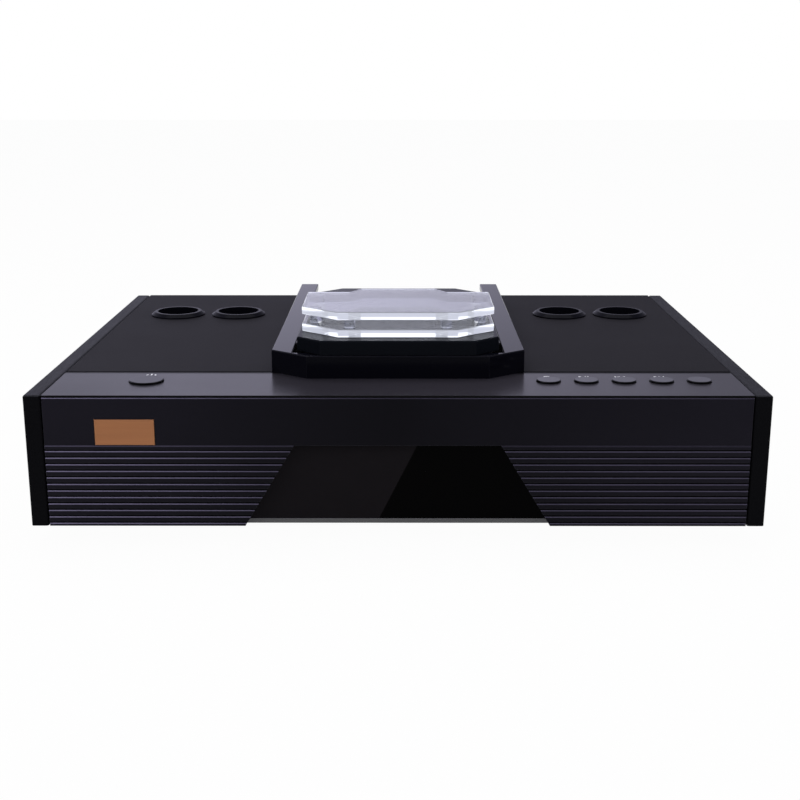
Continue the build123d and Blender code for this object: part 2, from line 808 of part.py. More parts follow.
# Spindle: motor under the chassis, steel shaft, disc hub with its centring cone, and the clamp
motor_bottom = chassis_under - motor_height
motor_profile = [
    (0, motor_bottom),
    (motor_radius - 1.5, motor_bottom),
    (motor_radius, motor_bottom + 1.5),
    (motor_radius, chassis_under),
    (bearing_radius, chassis_under),
    (bearing_radius, chassis_top + 1.0),
    (shaft_radius + running_gap, chassis_top + 1.0),
    (shaft_radius + running_gap, motor_bottom + 2.0),
    (0, motor_bottom + 2.0),
]
pieces["spindle_motor"] = turned(motor_profile, [(0, well_y)])
hub_under = hub_seat - hub_flange
hub_sleeve_bottom = chassis_top + 1.0 + fit
shaft_bottom = motor_bottom + 2.0 + fit
boss_top = hub_seat + hub_boss_height
with BuildPart() as spindle_shaft:
    discs(shaft_bottom, shaft_radius, boss_top - shaft_bottom, [(0, well_y)])
pieces["spindle_shaft"] = spindle_shaft
hub_profile = [
    (shaft_radius, hub_sleeve_bottom),
    (shaft_radius + 3.0, hub_sleeve_bottom),
    (shaft_radius + 3.0, hub_under),
    (hub_radius, hub_under),
    (hub_radius, hub_seat),
    (hub_boss_radius, hub_seat),
    (hub_boss_radius, hub_seat + 0.4 * hub_boss_height),
    (0.7 * hub_boss_radius, boss_top),
    (shaft_radius, boss_top),
]
pieces["spindle_hub"] = turned(hub_profile, [(0, well_y)])
clamp_top = hub_seat + clamp_height
clamp_profile = [
    (hub_boss_radius + fit, hub_seat),
    (clamp_radius, hub_seat),
    (clamp_radius, clamp_top - 1.5),
    (clamp_radius - 1.5, clamp_top),
    (0.6 * clamp_radius, clamp_top),
    (0.5 * clamp_radius, clamp_top - 1.2),
    (0, clamp_top - 1.2),
    (0, boss_top + fit),
    (hub_boss_radius + fit, boss_top + fit),
]
pieces["disc_clamp"] = turned(clamp_profile, [(0, well_y)])

# Pickup: a sled with a toothed rack rides on two ground rods and carries the lens turret
sled_y = well_y + inner_track
rack_pitch = pi * gear_module
rack_length = rack_teeth * rack_pitch
tooth_root = 0.62 * rack_pitch
tooth_tip = 0.24 * rack_pitch
tooth_height = addendum + dedendum
rack_x = sled_half + rack_base


def rack_outline():
    """The rack's toothed edge, its base on the sled's side, with teeth facing +X."""
    points = [(sled_half, sled_y - rack_length / 2), (sled_half, sled_y + rack_length / 2)]
    for index in reversed(range(rack_teeth)):
        middle = sled_y - rack_length / 2 + (index + 0.5) * rack_pitch
        points += [
            (rack_x, middle + tooth_root / 2),
            (rack_x + tooth_height, middle + tooth_tip / 2),
            (rack_x + tooth_height, middle - tooth_tip / 2),
            (rack_x, middle - tooth_root / 2),
        ]
    return points


with BuildPart() as pickup_sled:
    with BuildSketch(Plane.XY.offset(sled_bottom)):
        with Locations((0, sled_y)):
            Rectangle(2 * sled_half, sled_length)
    extrude(amount=sled_thickness)
    with BuildSketch(Plane.XY.offset(chassis_under - optics_drop + chassis_thickness)):
        with Locations((0, sled_y)):
            Rectangle(2 * optics_half, sled_length - 2.0)
    extrude(amount=sled_bottom - chassis_under + optics_drop - chassis_thickness)
    discs(sled_top, turret_radius, lens_top - 0.5 - sled_top, [(0, sled_y)])
    with BuildSketch(Plane.XY.offset(sled_bottom)):
        Polygon(*rack_outline(), align=None)
    extrude(amount=sled_thickness - 1.0)
    with BuildSketch(facing_front(sled_y + sled_length / 2)):
        with Locations((-rod_x, rod_z), (rod_x, rod_z)):
            Circle(rod_radius + 2 * running_gap)
    extrude(amount=sled_length, mode=Mode.SUBTRACT)
    discs(sled_top, lens_radius, lens_top - sled_top, [(0, sled_y)], Mode.SUBTRACT)
pieces["pickup_sled"] = pickup_sled

lens_profile = [
    (0, sled_top),
    (lens_radius - screw_gap, sled_top),
    (lens_radius - screw_gap, lens_top - 0.4),
    (0.5 * lens_radius, lens_top - 0.1),
    (0, lens_top),
]
pieces["pickup_lens"] = turned(lens_profile, [(0, sled_y)])

with BuildPart() as guide_rods:
    with BuildSketch(facing_front(well_y + rod_rear + rod_post / 2)):
        with Locations((-rod_x, rod_z), (rod_x, rod_z)):
            Circle(rod_radius)
    extrude(amount=rod_rear - rod_front + rod_post)
pieces["guide_rods"] = guide_rods


def gear_outline(teeth, centre, start):
    """A spur gear's outline round a centre, with the middle of one tooth at the start angle."""
    pitch_radius = gear_module * teeth / 2
    root = pitch_radius - dedendum
    tip = pitch_radius + addendum
    points = []
    for index in range(teeth):
        middle = start + index * 2 * pi / teeth
        for radius, offset in (
            (root, -0.3 * 2 * pi / teeth),
            (tip, -0.09 * 2 * pi / teeth),
            (tip, 0.09 * 2 * pi / teeth),
            (root, 0.3 * 2 * pi / teeth),
        ):
            angle = middle + offset
            points.append((centre[0] + radius * cos(angle), centre[1] + radius * sin(angle)))
    return points


# Gear train: the motor's pinion turns a stepped gear on the chassis pin, which moves the rack
gear_z = chassis_top + gear_lift
pinion_z = gear_z + gear_thickness
rack_phase = ((gear_y - sled_y + rack_length / 2) / rack_pitch - 0.5) % 1.0
pinion_start = pi + (rack_phase + 0.5) * 2 * pi / pinion_teeth
mesh_angle = radians(-motor_bearing)
with BuildPart() as drive_gear:
    with BuildSketch(Plane.XY.offset(gear_z)):
        Polygon(*gear_outline(gear_teeth, (gear_x, gear_y), mesh_angle), align=None)
    extrude(amount=gear_thickness)
    with BuildSketch(Plane.XY.offset(pinion_z)):
        Polygon(*gear_outline(pinion_teeth, (gear_x, gear_y), pinion_start), align=None)
    extrude(amount=sled_bottom + sled_thickness - pinion_z)
    discs(gear_z, pin_radius + running_gap, sled_top - gear_z, [(gear_x, gear_y)], Mode.SUBTRACT)
pieces["drive_gear"] = drive_gear

motor_pinion_start = mesh_angle + pi + pi / motor_teeth
sled_motor_bottom = chassis_under - sled_motor_height
motor_shaft_low = sled_motor_bottom + 2.0
with BuildPart() as motor_pinion:
    with BuildSketch(Plane.XY.offset(gear_z)):
        Polygon(*gear_outline(motor_teeth, (motor_x, motor_y), motor_pinion_start), align=None)
    extrude(amount=gear_thickness)
    motor_shaft_length = gear_z + gear_thickness - motor_shaft_low
    discs(motor_shaft_low, motor_shaft_radius, motor_shaft_length, [(motor_x, motor_y)])
pieces["motor_pinion"] = motor_pinion

sled_motor_profile = [
    (0, sled_motor_bottom),
    (sled_motor_radius, sled_motor_bottom),
    (sled_motor_radius, chassis_under),
    (motor_shaft_radius + running_gap, chassis_under),
    (motor_shaft_radius + running_gap, motor_shaft_low - fit),
    (0, motor_shaft_low - fit),
]
pieces["sled_motor"] = turned(sled_motor_profile, [(motor_x, motor_y)])

# Boards on standoffs: two valve boards at the back, the converter board and the supply board
tube_board_width = 100.0
tube_board_depth = 84.0
converter_inset = 79.0
converter_setback = 134.0
converter_x = body_half - converter_inset
converter_y = front_y + converter_setback
converter_width = 112.0
converter_depth = 100.0
supply_inset = 78.0
supply_y = rear_y - supply_inset
supply_width = 144.0
supply_depth = 96.0
standoff_inset = 5.0
boards = [
    ("valve_boards", -tube_board_x, vent_y, tube_board_width, tube_board_depth),
    ("valve_boards", tube_board_x, vent_y, tube_board_width, tube_board_depth),
    ("converter_board", converter_x, converter_y, converter_width, converter_depth),
    ("supply_board", 0, supply_y, supply_width, supply_depth),
]
for board_name in ("valve_boards", "converter_board", "supply_board"):
    with BuildPart() as board:
        for name, x, y, width, depth in boards:
            if name != board_name:
                continue
            with BuildSketch(Plane.XY.offset(board_z)):
                with Locations((x, y)):
                    Rectangle(width, depth)
                    with GridLocations(width - 2 * standoff_inset, depth - 2 * standoff_inset, 2, 2):
                        Circle(screw_radius, mode=Mode.SUBTRACT)
            extrude(amount=board_thickness)
    pieces[board_name] = board

with BuildPart() as board_standoffs:
    for name, x, y, width, depth in boards:
        with BuildSketch(Plane.XY.offset(floor_z)):
            with Locations((x, y)):
                with GridLocations(width - 2 * standoff_inset, depth - 2 * standoff_inset, 2, 2):
                    RegularPolygon(standoff_radius, 6)
        extrude(amount=board_lift)
pieces["board_standoffs"] = board_standoffs

# Valves in ceramic sockets, standing right under the vent rings
socket_profile = [
    (0, board_top),
    (socket_radius - 1.5, board_top),
    (socket_radius - 1.5, board_top + 3.0),
    (socket_radius, board_top + 4.0),
    (socket_radius, board_top + socket_height),
    (3.0, board_top + socket_height),
    (3.0, board_top + 3.0),
    (0, board_top + 3.0),
]
pieces["tube_sockets"] = turned(socket_profile, vent_points)
tube_low = board_top + socket_height
tube_shoulder = tube_low + tube_height - 10.0
tube_top = tube_low + tube_height
tip_radius = 2.0
tip_height = 4.0
with BuildPart() as tube:
    with BuildSketch(Plane.XZ):
        with BuildLine():
            Polyline(
                (0, tube_low),
                (tube_radius - 1.5, tube_low),
                (tube_radius, tube_low + 2.0),
                (tube_radius, tube_shoulder),
            )
            ThreePointArc(
                (tube_radius, tube_shoulder),
                (0.76 * tube_radius, tube_top - 3.6),
                (tip_radius, tube_top),
            )
            Polyline(
                (tip_radius, tube_top),
                (tip_radius / 2, tube_top + tip_height),
                (0, tube_top + tip_height),
                (0, tube_low),
            )
        make_face()
    revolve(axis=Axis.Z)
with BuildPart() as vacuum_tubes:
    with Locations(*vent_points):
        add(tube.part)
pieces["vacuum_tubes"] = vacuum_tubes

# Toroidal transformer on a rubber pad, held by a dished washer on a central bolt
transformer_point = (transformer_inset - body_half, front_y + transformer_setback)
transformer_pad = 3.0
transformer_low = floor_z + transformer_pad
transformer_round = 9.0
transformer_high = transformer_low + transformer_height
transformer_profile = [
    (transformer_bore, transformer_low + transformer_round / 2),
    (transformer_bore + transformer_round / 2, transformer_low),
    (transformer_radius - transformer_round, transformer_low),
    (transformer_radius, transformer_low + transformer_round),
    (transformer_radius, transformer_high - transformer_round),
    (transformer_radius - transformer_round, transformer_high),
    (transformer_bore + transformer_round / 2, transformer_high),
    (transformer_bore, transformer_high - transformer_round / 2),
]
pieces["transformer"] = turned(transformer_profile, [transformer_point])
with BuildPart() as transformer_pad_ring:
    discs(floor_z, transformer_radius - transformer_round, transformer_pad, [transformer_point])
    discs(floor_z, 4.0, transformer_pad, [transformer_point], Mode.SUBTRACT)
pieces["transformer_pad"] = transformer_pad_ring
bolt_radius = 3.0
washer_profile = [
    (0, floor_z),
    (bolt_radius, floor_z),
    (bolt_radius, transformer_high - 4.0),
    (transformer_bore - 1.5, transformer_high - 4.0),
    (transformer_bore - 1.5, transformer_high),
    (transformer_radius - transformer_round, transformer_high),
    (transformer_radius - transformer_round, transformer_high + 1.5),
    (6.0, transformer_high + 1.5),
    (6.0, transformer_high + 6.0),
    (0, transformer_high + 6.0),
]
pieces["transformer_clamp"] = turned(washer_profile, [transformer_point])

# Supply parts: four smoothing capacitors and a finned regulator heatsink
capacitor_pitch = 32.0
capacitor_shift = 24.0
capacitor_points = [((index - 1.5) * capacitor_pitch, supply_y - capacitor_shift) for index in range(4)]
capacitor_profile = [
    (0, board_top),
    (capacitor_radius, board_top),
    (capacitor_radius, board_top + 4.0),
    (capacitor_radius - 0.8, board_top + 5.0),
    (capacitor_radius, board_top + 6.0),
    (capacitor_radius, board_top + capacitor_height),
    (0, board_top + capacitor_height),
]
pieces["smoothing_capacitors"] = turned(capacitor_profile, capacitor_points)
fin_count = 9
fin_pitch = 10.0
fin_height = 30.0
fin_length = 16.0
fin_thickness = 2.0
web_thickness = 3.0
web_shift = 16.0
with BuildPart() as regulator_heatsink:
    with BuildSketch(Plane.XY.offset(board_top)):
        with Locations((0, supply_y + web_shift)):
            Rectangle((fin_count - 1) * fin_pitch + fin_thickness, web_thickness)
        with Locations((0, supply_y + web_shift + (web_thickness + fin_length) / 2 - screw_gap)):
            with GridLocations(fin_pitch, 1.0, fin_count, 1):
                Rectangle(fin_thickness, fin_length)
    extrude(amount=fin_height)
pieces["regulator_heatsink"] = regulator_heatsink

# Rear connectors: two audio jacks, a digital jack with an optical port, and the mains inlet
jack_inside = 16.0
jack_bore = 1.7
jack_profile = [
    (0, back_front - jack_inside),
    (jack_thread, back_front - jack_inside),
    (jack_thread, back_front - 3.0),
    (jack_thread + 2.5, back_front - 3.0),
    (jack_thread + 2.5, back_front),
    (jack_thread, back_front),
    (jack_thread, rear_y),
    (jack_thread + 3.5, rear_y),
    (jack_thread + 3.5, rear_y + 2.2),
    (jack_barrel, rear_y + 2.2),
    (jack_barrel, rear_y + jack_reach),
    (jack_bore, rear_y + jack_reach),
    (jack_bore, rear_y + 4.0),
    (0, rear_y + 4.0),
]
with BuildPart() as jack:
    with BuildSketch(Plane.XY):
        Polygon(*jack_profile, align=None)
    revolve(axis=Axis.Y)
optical_proud = 5.0
optical_mouth = 8.0
with BuildPart() as rear_jacks:
    with Locations(*[(x, 0, jack_z) for x in (*rca_x, coax_x)]):
        add(jack.part)
    with BuildSketch(facing_front(rear_y)):
        with Locations((optical_x, jack_z)):
            Rectangle(optical_width, optical_height)
    extrude(amount=jack_inside)
    with BuildSketch(facing_front(rear_y)):
        with Locations((optical_x, jack_z)):
            Rectangle(optical_width + 2.0, optical_height + 2.0)
    extrude(amount=-optical_proud)
    with BuildSketch(facing_front(rear_y + optical_proud)):
        with Locations((optical_x, jack_z)):
            Rectangle(optical_mouth, optical_mouth)
    extrude(amount=optical_proud + 6.0, mode=Mode.SUBTRACT)
pieces["rear_jacks"] = rear_jacks

inlet_proud = 3.0
inlet_depth = 26.0
inlet_mouth_width = 24.5
inlet_mouth_height = 16.5
inlet_mouth_depth = 17.0
inlet_corner = 4.0
with BuildPart() as mains_inlet:
    with BuildSketch(facing_front(rear_y)):
        with Locations((inlet_x, jack_z)):
            Rectangle(inlet_width, inlet_height)
    extrude(amount=inlet_depth)
    with BuildSketch(facing_front(rear_y)):
        with Locations((inlet_x, jack_z)):
            RectangleRounded(inlet_flange_width, inlet_flange_height, 5.0)
            with GridLocations(40.0, 1.0, 2, 1):
                Circle(screw_radius + screw_gap, mode=Mode.SUBTRACT)
    extrude(amount=-inlet_proud)
    with BuildSketch(facing_front(rear_y + inlet_proud)):
        with Locations((inlet_x, jack_z)):
            Polygon(
                (-inlet_mouth_width / 2, -inlet_mouth_height / 2),
                (inlet_mouth_width / 2, -inlet_mouth_height / 2),
                (inlet_mouth_width / 2, inlet_mouth_height / 2 - inlet_corner),
                (inlet_mouth_width / 2 - inlet_corner, inlet_mouth_height / 2),
                (-inlet_mouth_width / 2 + inlet_corner, inlet_mouth_height / 2),
                (-inlet_mouth_width / 2, inlet_mouth_height / 2 - inlet_corner),
                align=None,
            )
    extrude(amount=inlet_mouth_depth, mode=Mode.SUBTRACT)
    with BuildSketch(facing_front(rear_y + inlet_proud - inlet_mouth_depth)):
        with Locations((inlet_x - 7.0, jack_z - 2.0), (inlet_x, jack_z + 2.0), (inlet_x + 7.0, jack_z - 2.0)):
            Rectangle(2.0, 5.0)
    extrude(amount=-(inlet_mouth_depth - 3.0))
pieces["mains_inlet"] = mains_inlet

# Screws: pan heads on the back, on the inside of the tray into the side plates, and in the feet
foot_screw_head = 2.6
with BuildPart() as case_screws:
    rear_points = [(x, z) for x in rear_screw_x for z in (rear_screw_low, rear_screw_high)]
    with BuildSketch(facing_front(rear_y)):
        with Locations(*rear_points):
            Circle(screw_head)
    extrude(amount=-screw_head_height)
    with BuildSketch(facing_front(rear_y)):
        with Locations(*rear_points):
            Circle(screw_radius)
    extrude(amount=back_sheet + tray_sheet + 3.0)
    for sign in (-1, 1):
        flange_x = sign * (inner_half - tray_sheet)
        side_points = [(y, side_screw_z) for y in side_screw_y]
        with BuildSketch(Plane.YZ.offset(flange_x)):
            with Locations(*side_points):
                Circle(screw_head)
        extrude(amount=-sign * screw_head_height)
        with BuildSketch(Plane.YZ.offset(flange_x)):
            with Locations(*side_points):
                Circle(screw_radius)
        extrude(amount=sign * (side_screw_length + tray_sheet - 1.0))
    discs(foot_seat - foot_screw_head, 2 * foot_screw, foot_screw_head, foot_points)
    discs(foot_seat, foot_screw, foot_height - foot_seat + tray_sheet + 3.0, foot_points)
pieces["case_screws"] = case_screws

# Feet: turned cups with a rubber ring underneath, each on one screw through the tray
foot_bore = foot_screw + screw_gap
pad_inner = 9.0
pad_outer = foot_radius - 3.0
foot_profile = [
    (foot_bore, foot_seat),
    (pad_inner - 2.0, foot_seat),
    (pad_inner - 2.0, pad_proud),
    (pad_inner - 0.1, pad_proud),
    (pad_inner - 0.1, pad_thickness),
    (pad_outer + 0.1, pad_thickness),
    (pad_outer + 0.1, pad_proud),
    (foot_radius - 1.0, pad_proud),
    (foot_radius, pad_proud + 1.0),
    (foot_radius, foot_height),
    (foot_bore, foot_height),
]
pieces["feet"] = turned(foot_profile, foot_points)
with BuildPart() as foot_pads:
    with BuildSketch(Plane.XY):
        with Locations(*foot_points):
            Circle(pad_outer)
            Circle(pad_inner, mode=Mode.SUBTRACT)
    extrude(amount=pad_thickness)
pieces["foot_pads"] = foot_pads
for name, piece in pieces.items():
    piece.part.label = name
    export_step(piece.part, f"parts/{name}.step")
print(len(pieces), "pieces")
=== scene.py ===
import math
import bmesh
import bpy
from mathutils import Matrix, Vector


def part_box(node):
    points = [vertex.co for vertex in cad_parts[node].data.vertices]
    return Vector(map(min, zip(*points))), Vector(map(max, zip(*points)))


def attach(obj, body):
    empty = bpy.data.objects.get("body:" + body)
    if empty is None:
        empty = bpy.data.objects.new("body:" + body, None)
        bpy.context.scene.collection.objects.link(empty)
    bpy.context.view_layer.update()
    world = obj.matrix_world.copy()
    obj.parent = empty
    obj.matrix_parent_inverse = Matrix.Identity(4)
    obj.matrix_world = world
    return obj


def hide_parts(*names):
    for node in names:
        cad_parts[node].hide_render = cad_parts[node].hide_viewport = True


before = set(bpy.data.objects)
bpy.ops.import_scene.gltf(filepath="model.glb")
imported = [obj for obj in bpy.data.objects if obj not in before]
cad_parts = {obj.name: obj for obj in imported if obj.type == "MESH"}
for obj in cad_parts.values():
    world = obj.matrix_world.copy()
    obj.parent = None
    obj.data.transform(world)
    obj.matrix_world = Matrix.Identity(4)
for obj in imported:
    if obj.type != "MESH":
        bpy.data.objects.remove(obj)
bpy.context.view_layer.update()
scene = bpy.context.scene
scene.view_settings.view_transform = "Standard"

# Camera: stands in front of the player at eye height for a shelf and looks slightly down.
# Its place and lens are those of the picture of the player.
camera_data = bpy.data.cameras.new("camera")
camera_data.lens = 57.24
camera_data.sensor_width = 36.0
camera_data.clip_start = 0.02
camera_data.clip_end = 50.0
camera = bpy.data.objects.new("camera", camera_data)
camera.location = (0.0027, -0.8758, 0.2731)
camera.rotation_euler = (math.radians(75.30), 0.0, math.radians(0.11))
scene.collection.objects.link(camera)
scene.camera = camera

# Studio: a pale floor and room, a large soft box overhead and a smaller one at each side in front.
# Seen directly or through clear plastic, floor and room are white; a gloss shows them pale.
floor_half = 6.0
floor_drop = 0.0004
wall_blend = 0.22
left_wall = 1.12
right_wall = 0.5


def shader_tree(name):
    """A material with its node tree and its Principled shader."""
    material = bpy.data.materials.new(name)
    material.use_nodes = True
    tree = material.node_tree
    return material, tree, tree.nodes["Principled BSDF"]


def math_node(tree, operation, first, second=None, third=None, clamp=False):
    """A Math node whose inputs are sockets or plain numbers."""
    node = tree.nodes.new("ShaderNodeMath")
    node.operation = operation
    node.use_clamp = clamp
    for index, value in enumerate((first, second, third)):
        if isinstance(value, (int, float)):
            node.inputs[index].default_value = value
        elif value is not None:
            tree.links.new(value, node.inputs[index])
    return node.outputs[0]


def axis_of(tree, vector, axis):
    """One coordinate of a vector."""
    axes = tree.nodes.new("ShaderNodeSeparateXYZ")
    tree.links.new(vector, axes.inputs[0])
    return axes.outputs[axis]


def ramp(tree, value, start, end, first, last, curve="LINEAR"):
    """A tone that goes from a first to a last value between a start and an end."""
    node = tree.nodes.new("ShaderNodeMapRange")
    node.interpolation_type = curve
    for name, number in (("From Min", start), ("From Max", end), ("To Min", first), ("To Max", last)):
        node.inputs[name].default_value = number
    tree.links.new(value, node.inputs["Value"])
    return node.outputs["Result"]


def ray_weight(tree, camera_share, glossy_share, transmitted_share):
    """How white a stage surface is for the ray that meets it: the largest share that applies."""
    path = tree.nodes.new("ShaderNodeLightPath")
    shares = (("Camera", camera_share), ("Glossy", glossy_share), ("Transmission", transmitted_share))
    seen, mirrored, through = (math_node(tree, "MULTIPLY", path.outputs[f"Is {kind} Ray"], share)
                               for kind, share in shares)
    return math_node(tree, "MAXIMUM", math_node(tree, "MAXIMUM", seen, mirrored), through)


def shader_mix(tree, weight, first, second):
    """Passes from one shader to another as a weight goes from nothing to one."""
    node = tree.nodes.new("ShaderNodeMixShader")
    tree.links.new(weight, node.inputs["Fac"])
    tree.links.new(first.outputs[0], node.inputs[1])
    tree.links.new(second.outputs[0], node.inputs[2])
    return node


floor_mesh = bpy.data.meshes.new("floor")
floor_shape = bmesh.new()
bmesh.ops.create_grid(floor_shape, x_segments=2, y_segments=2, size=floor_half)
floor_shape.to_mesh(floor_mesh)
floor_shape.free()
floor = bpy.data.objects.new("floor", floor_mesh)
floor.location = (0.0, 0.0, -floor_drop)
scene.collection.objects.link(floor)
floor_material, floor_tree, floor_shader = shader_tree("floor")
floor_shader.inputs["Base Color"].default_value = (0.82, 0.82, 0.83, 1.0)
floor_shader.inputs["Roughness"].default_value = 0.9
floor_white = floor_tree.nodes.new("ShaderNodeEmission")
floor_white.inputs["Strength"].default_value = 1.0
floor_weight = ray_weight(floor_tree, camera_share=0.97, glossy_share=0.25, transmitted_share=0.97)
floor_mix = shader_mix(floor_tree, floor_weight, floor_shader, floor_white)
floor_tree.links.new(floor_mix.outputs[0], floor_tree.nodes["Material Output"].inputs["Surface"])
floor_mesh.materials.append(floor_material)

world = bpy.data.worlds.new("room")
world.use_nodes = True
scene.world = world
room_tree = world.node_tree
room = room_tree.nodes["Background"]
room.inputs["Color"].default_value = (0.94, 0.95, 1.0, 1.0)
room.inputs["Strength"].default_value = 0.30
walls = room_tree.nodes.new("ShaderNodeBackground")
walls.inputs["Color"].default_value = (0.80, 0.78, 1.0, 1.0)
wall_side = axis_of(room_tree, room_tree.nodes.new("ShaderNodeTexCoord").outputs["Generated"], "X")
wall_tone = ramp(room_tree, wall_side, -wall_blend, wall_blend, left_wall, right_wall)
room_tree.links.new(wall_tone, walls.inputs["Strength"])
backdrop = room_tree.nodes.new("ShaderNodeBackground")
backdrop.inputs["Color"].default_value = (1.0, 1.0, 1.0, 1.0)
backdrop.inputs["Strength"].default_value = 1.0
mirrored_only = ray_weight(room_tree, camera_share=0.0, glossy_share=1.0, transmitted_share=0.0)
seen_only = ray_weight(room_tree, camera_share=1.0, glossy_share=0.0, transmitted_share=1.0)
lit_room = shader_mix(room_tree, mirrored_only, room, walls)
shown_room = shader_mix(room_tree, seen_only, lit_room, backdrop)
room_tree.links.new(shown_room.outputs[0], room_tree.nodes["World Output"].inputs["Surface"])


def soft_box(name, place, aim, size, power):
    """A large soft lamp at a place, turned to face a point."""
    data = bpy.data.lights.new(name, "AREA")
    data.shape = "RECTANGLE"
    data.size, data.size_y = size
    data.energy = power
    lamp = bpy.data.objects.new(name, data)
    lamp.location = place
    lamp.rotation_euler = (Vector(aim) - Vector(place)).to_track_quat("-Z", "Y").to_euler()
    scene.collection.objects.link(lamp)


soft_box("softbox_top", (0.0, 0.25, 1.5), (0.0, 0.0, 0.08), (1.6, 1.0), 14.0)
for name, side in (("softbox_left", -1.0), ("softbox_right", 1.0)):
    soft_box(name, (1.3 * side, -0.9, 0.9), (0.0, 0.0, 0.06), (0.7, 0.9), 6.0)

# Side plates: thick slabs of aluminium, brushed along their length and anodised black.
# The tray's screws hold them from inside, so their outer faces are plain.
grain_height = 0.0002
dust_grey = (0.5, 0.5, 0.5)
plate_top_from = 0.5
upright_shade = 0.18


def new_group(name, inputs, outputs):
    """A shader node group with named sockets; inputs give their starting values."""
    group = bpy.data.node_groups.new(name, "ShaderNodeTree")
    kinds = {float: "NodeSocketFloat", tuple: "NodeSocketVector"}
    for socket, value in inputs.items():
        made = group.interface.new_socket(socket, in_out="INPUT", socket_type=kinds[type(value)])
        made.default_value = value
    for socket, kind in outputs.items():
        group.interface.new_socket(socket, in_out="OUTPUT", socket_type=kind)
    return group, group.nodes.new("NodeGroupInput"), group.nodes.new("NodeGroupOutput")


def object_place(tree):
    """Where the shaded point lies on the player, in metres."""
    return tree.nodes.new("ShaderNodeTexCoord").outputs["Object"]


# Edge mask: where the surface turns sharply the finish is eased, and it wears in patches. Solid finishes
# make these edges paler, partly as wear and partly as a painted highlight; clear plastic makes them dark
# as a painted outline
rub_gain = 5.0
rub_least = 0.15
edge_mask_group, rub_in, rub_out = new_group(
    "rubbed_edges",
    {"Reach": 0.0005, "Wear": 0.5, "Patch Scale": 90.0},
    {"Rub": "NodeSocketFloat", "Eased Normal": "NodeSocketVector"},
)
rub_bevel = edge_mask_group.nodes.new("ShaderNodeBevel")
rub_bevel.samples = 6
rub_geometry = edge_mask_group.nodes.new("ShaderNodeNewGeometry")
rub_dot = edge_mask_group.nodes.new("ShaderNodeVectorMath")
rub_dot.operation = "DOT_PRODUCT"
rub_noise = edge_mask_group.nodes.new("ShaderNodeTexNoise")
rub_noise.inputs["Detail"].default_value = 4.0
edge_mask_group.links.new(rub_in.outputs["Reach"], rub_bevel.inputs["Radius"])
edge_mask_group.links.new(rub_bevel.outputs["Normal"], rub_dot.inputs[0])
edge_mask_group.links.new(rub_geometry.outputs["Normal"], rub_dot.inputs[1])
edge_mask_group.links.new(object_place(edge_mask_group), rub_noise.inputs["Vector"])
edge_mask_group.links.new(rub_in.outputs["Patch Scale"], rub_noise.inputs["Scale"])
rub_turn = math_node(edge_mask_group, "SUBTRACT", 1.0, rub_dot.outputs["Value"])
rub_sharp = math_node(edge_mask_group, "MULTIPLY", rub_turn, rub_gain, clamp=True)
rub_patch = math_node(edge_mask_group, "ADD", rub_noise.outputs["Fac"], rub_least)
rub_worn = math_node(edge_mask_group, "MULTIPLY", rub_sharp, rub_patch)
rub_final = math_node(edge_mask_group, "MULTIPLY", rub_worn, rub_in.outputs["Wear"], clamp=True)
edge_mask_group.links.new(rub_final, rub_out.inputs["Rub"])
edge_mask_group.links.new(rub_bevel.outputs["Normal"], rub_out.inputs["Eased Normal"])

# Grain: a fine noise, stretched along the direction of brushing or even for a blasted face
grain_group, grain_in, grain_out = new_group(
    "surface_grain",
    {"Scale": 900.0, "Stretch": (1.0, 1.0, 1.0), "Roughness": 0.6},
    {"Height": "NodeSocketFloat"},
)
grain_map = grain_group.nodes.new("ShaderNodeMapping")
grain_noise = grain_group.nodes.new("ShaderNodeTexNoise")
grain_noise.inputs["Detail"].default_value = 3.0
grain_group.links.new(object_place(grain_group), grain_map.inputs["Vector"])
grain_group.links.new(grain_in.outputs["Stretch"], grain_map.inputs["Scale"])
grain_group.links.new(grain_map.outputs["Vector"], grain_noise.inputs["Vector"])
grain_group.links.new(grain_in.outputs["Scale"], grain_noise.inputs["Scale"])
grain_group.links.new(grain_in.outputs["Roughness"], grain_noise.inputs["Roughness"])
grain_group.links.new(grain_noise.outputs["Fac"], grain_out.inputs["Height"])

# Handling: broad faint clouds and specks of dust that shift how glossy a face is
speck_reach = 0.08
haze_group, haze_in, haze_out = new_group(
    "handling_haze",
    {"Cloud Scale": 14.0, "Speck Scale": 700.0},
    {"Haze": "NodeSocketFloat", "Speck": "NodeSocketFloat"},
)
haze_place = object_place(haze_group)
haze_cloud = haze_group.nodes.new("ShaderNodeTexNoise")
haze_cloud.inputs["Detail"].default_value = 5.0
haze_cloud.inputs["Distortion"].default_value = 0.4
haze_cells = haze_group.nodes.new("ShaderNodeTexVoronoi")
haze_group.links.new(haze_place, haze_cloud.inputs["Vector"])
haze_group.links.new(haze_place, haze_cells.inputs["Vector"])
haze_group.links.new(haze_in.outputs["Cloud Scale"], haze_cloud.inputs["Scale"])
haze_group.links.new(haze_in.outputs["Speck Scale"], haze_cells.inputs["Scale"])
haze_near = math_node(haze_group, "LESS_THAN", haze_cells.outputs["Distance"], speck_reach)
haze_group.links.new(haze_cloud.outputs["Fac"], haze_out.inputs["Haze"])
haze_group.links.new(haze_near, haze_out.inputs["Speck"])


def use_group(tree, group, **values):
    """Places a shared group in a material; underscores in a name stand for spaces."""
    node = tree.nodes.new("ShaderNodeGroup")
    node.node_tree = group
    for name, value in values.items():
        node.inputs[name.replace("_", " ")].default_value = value
    return node


def blend_colour(tree, weight, first, second, mode="MIX"):
    """Mixes two colours, given as sockets or as red, green and blue."""
    node = tree.nodes.new("ShaderNodeMix")
    node.data_type = "RGBA"
    node.blend_type = mode
    if isinstance(weight, (int, float)):
        node.inputs["Factor"].default_value = weight
    else:
        tree.links.new(weight, node.inputs["Factor"])
    for socket, value in ((node.inputs[6], first), (node.inputs[7], second)):
        if isinstance(value, tuple):
            socket.default_value = (*value, 1.0)
        else:
            tree.links.new(value, socket)
    return node.outputs[2]


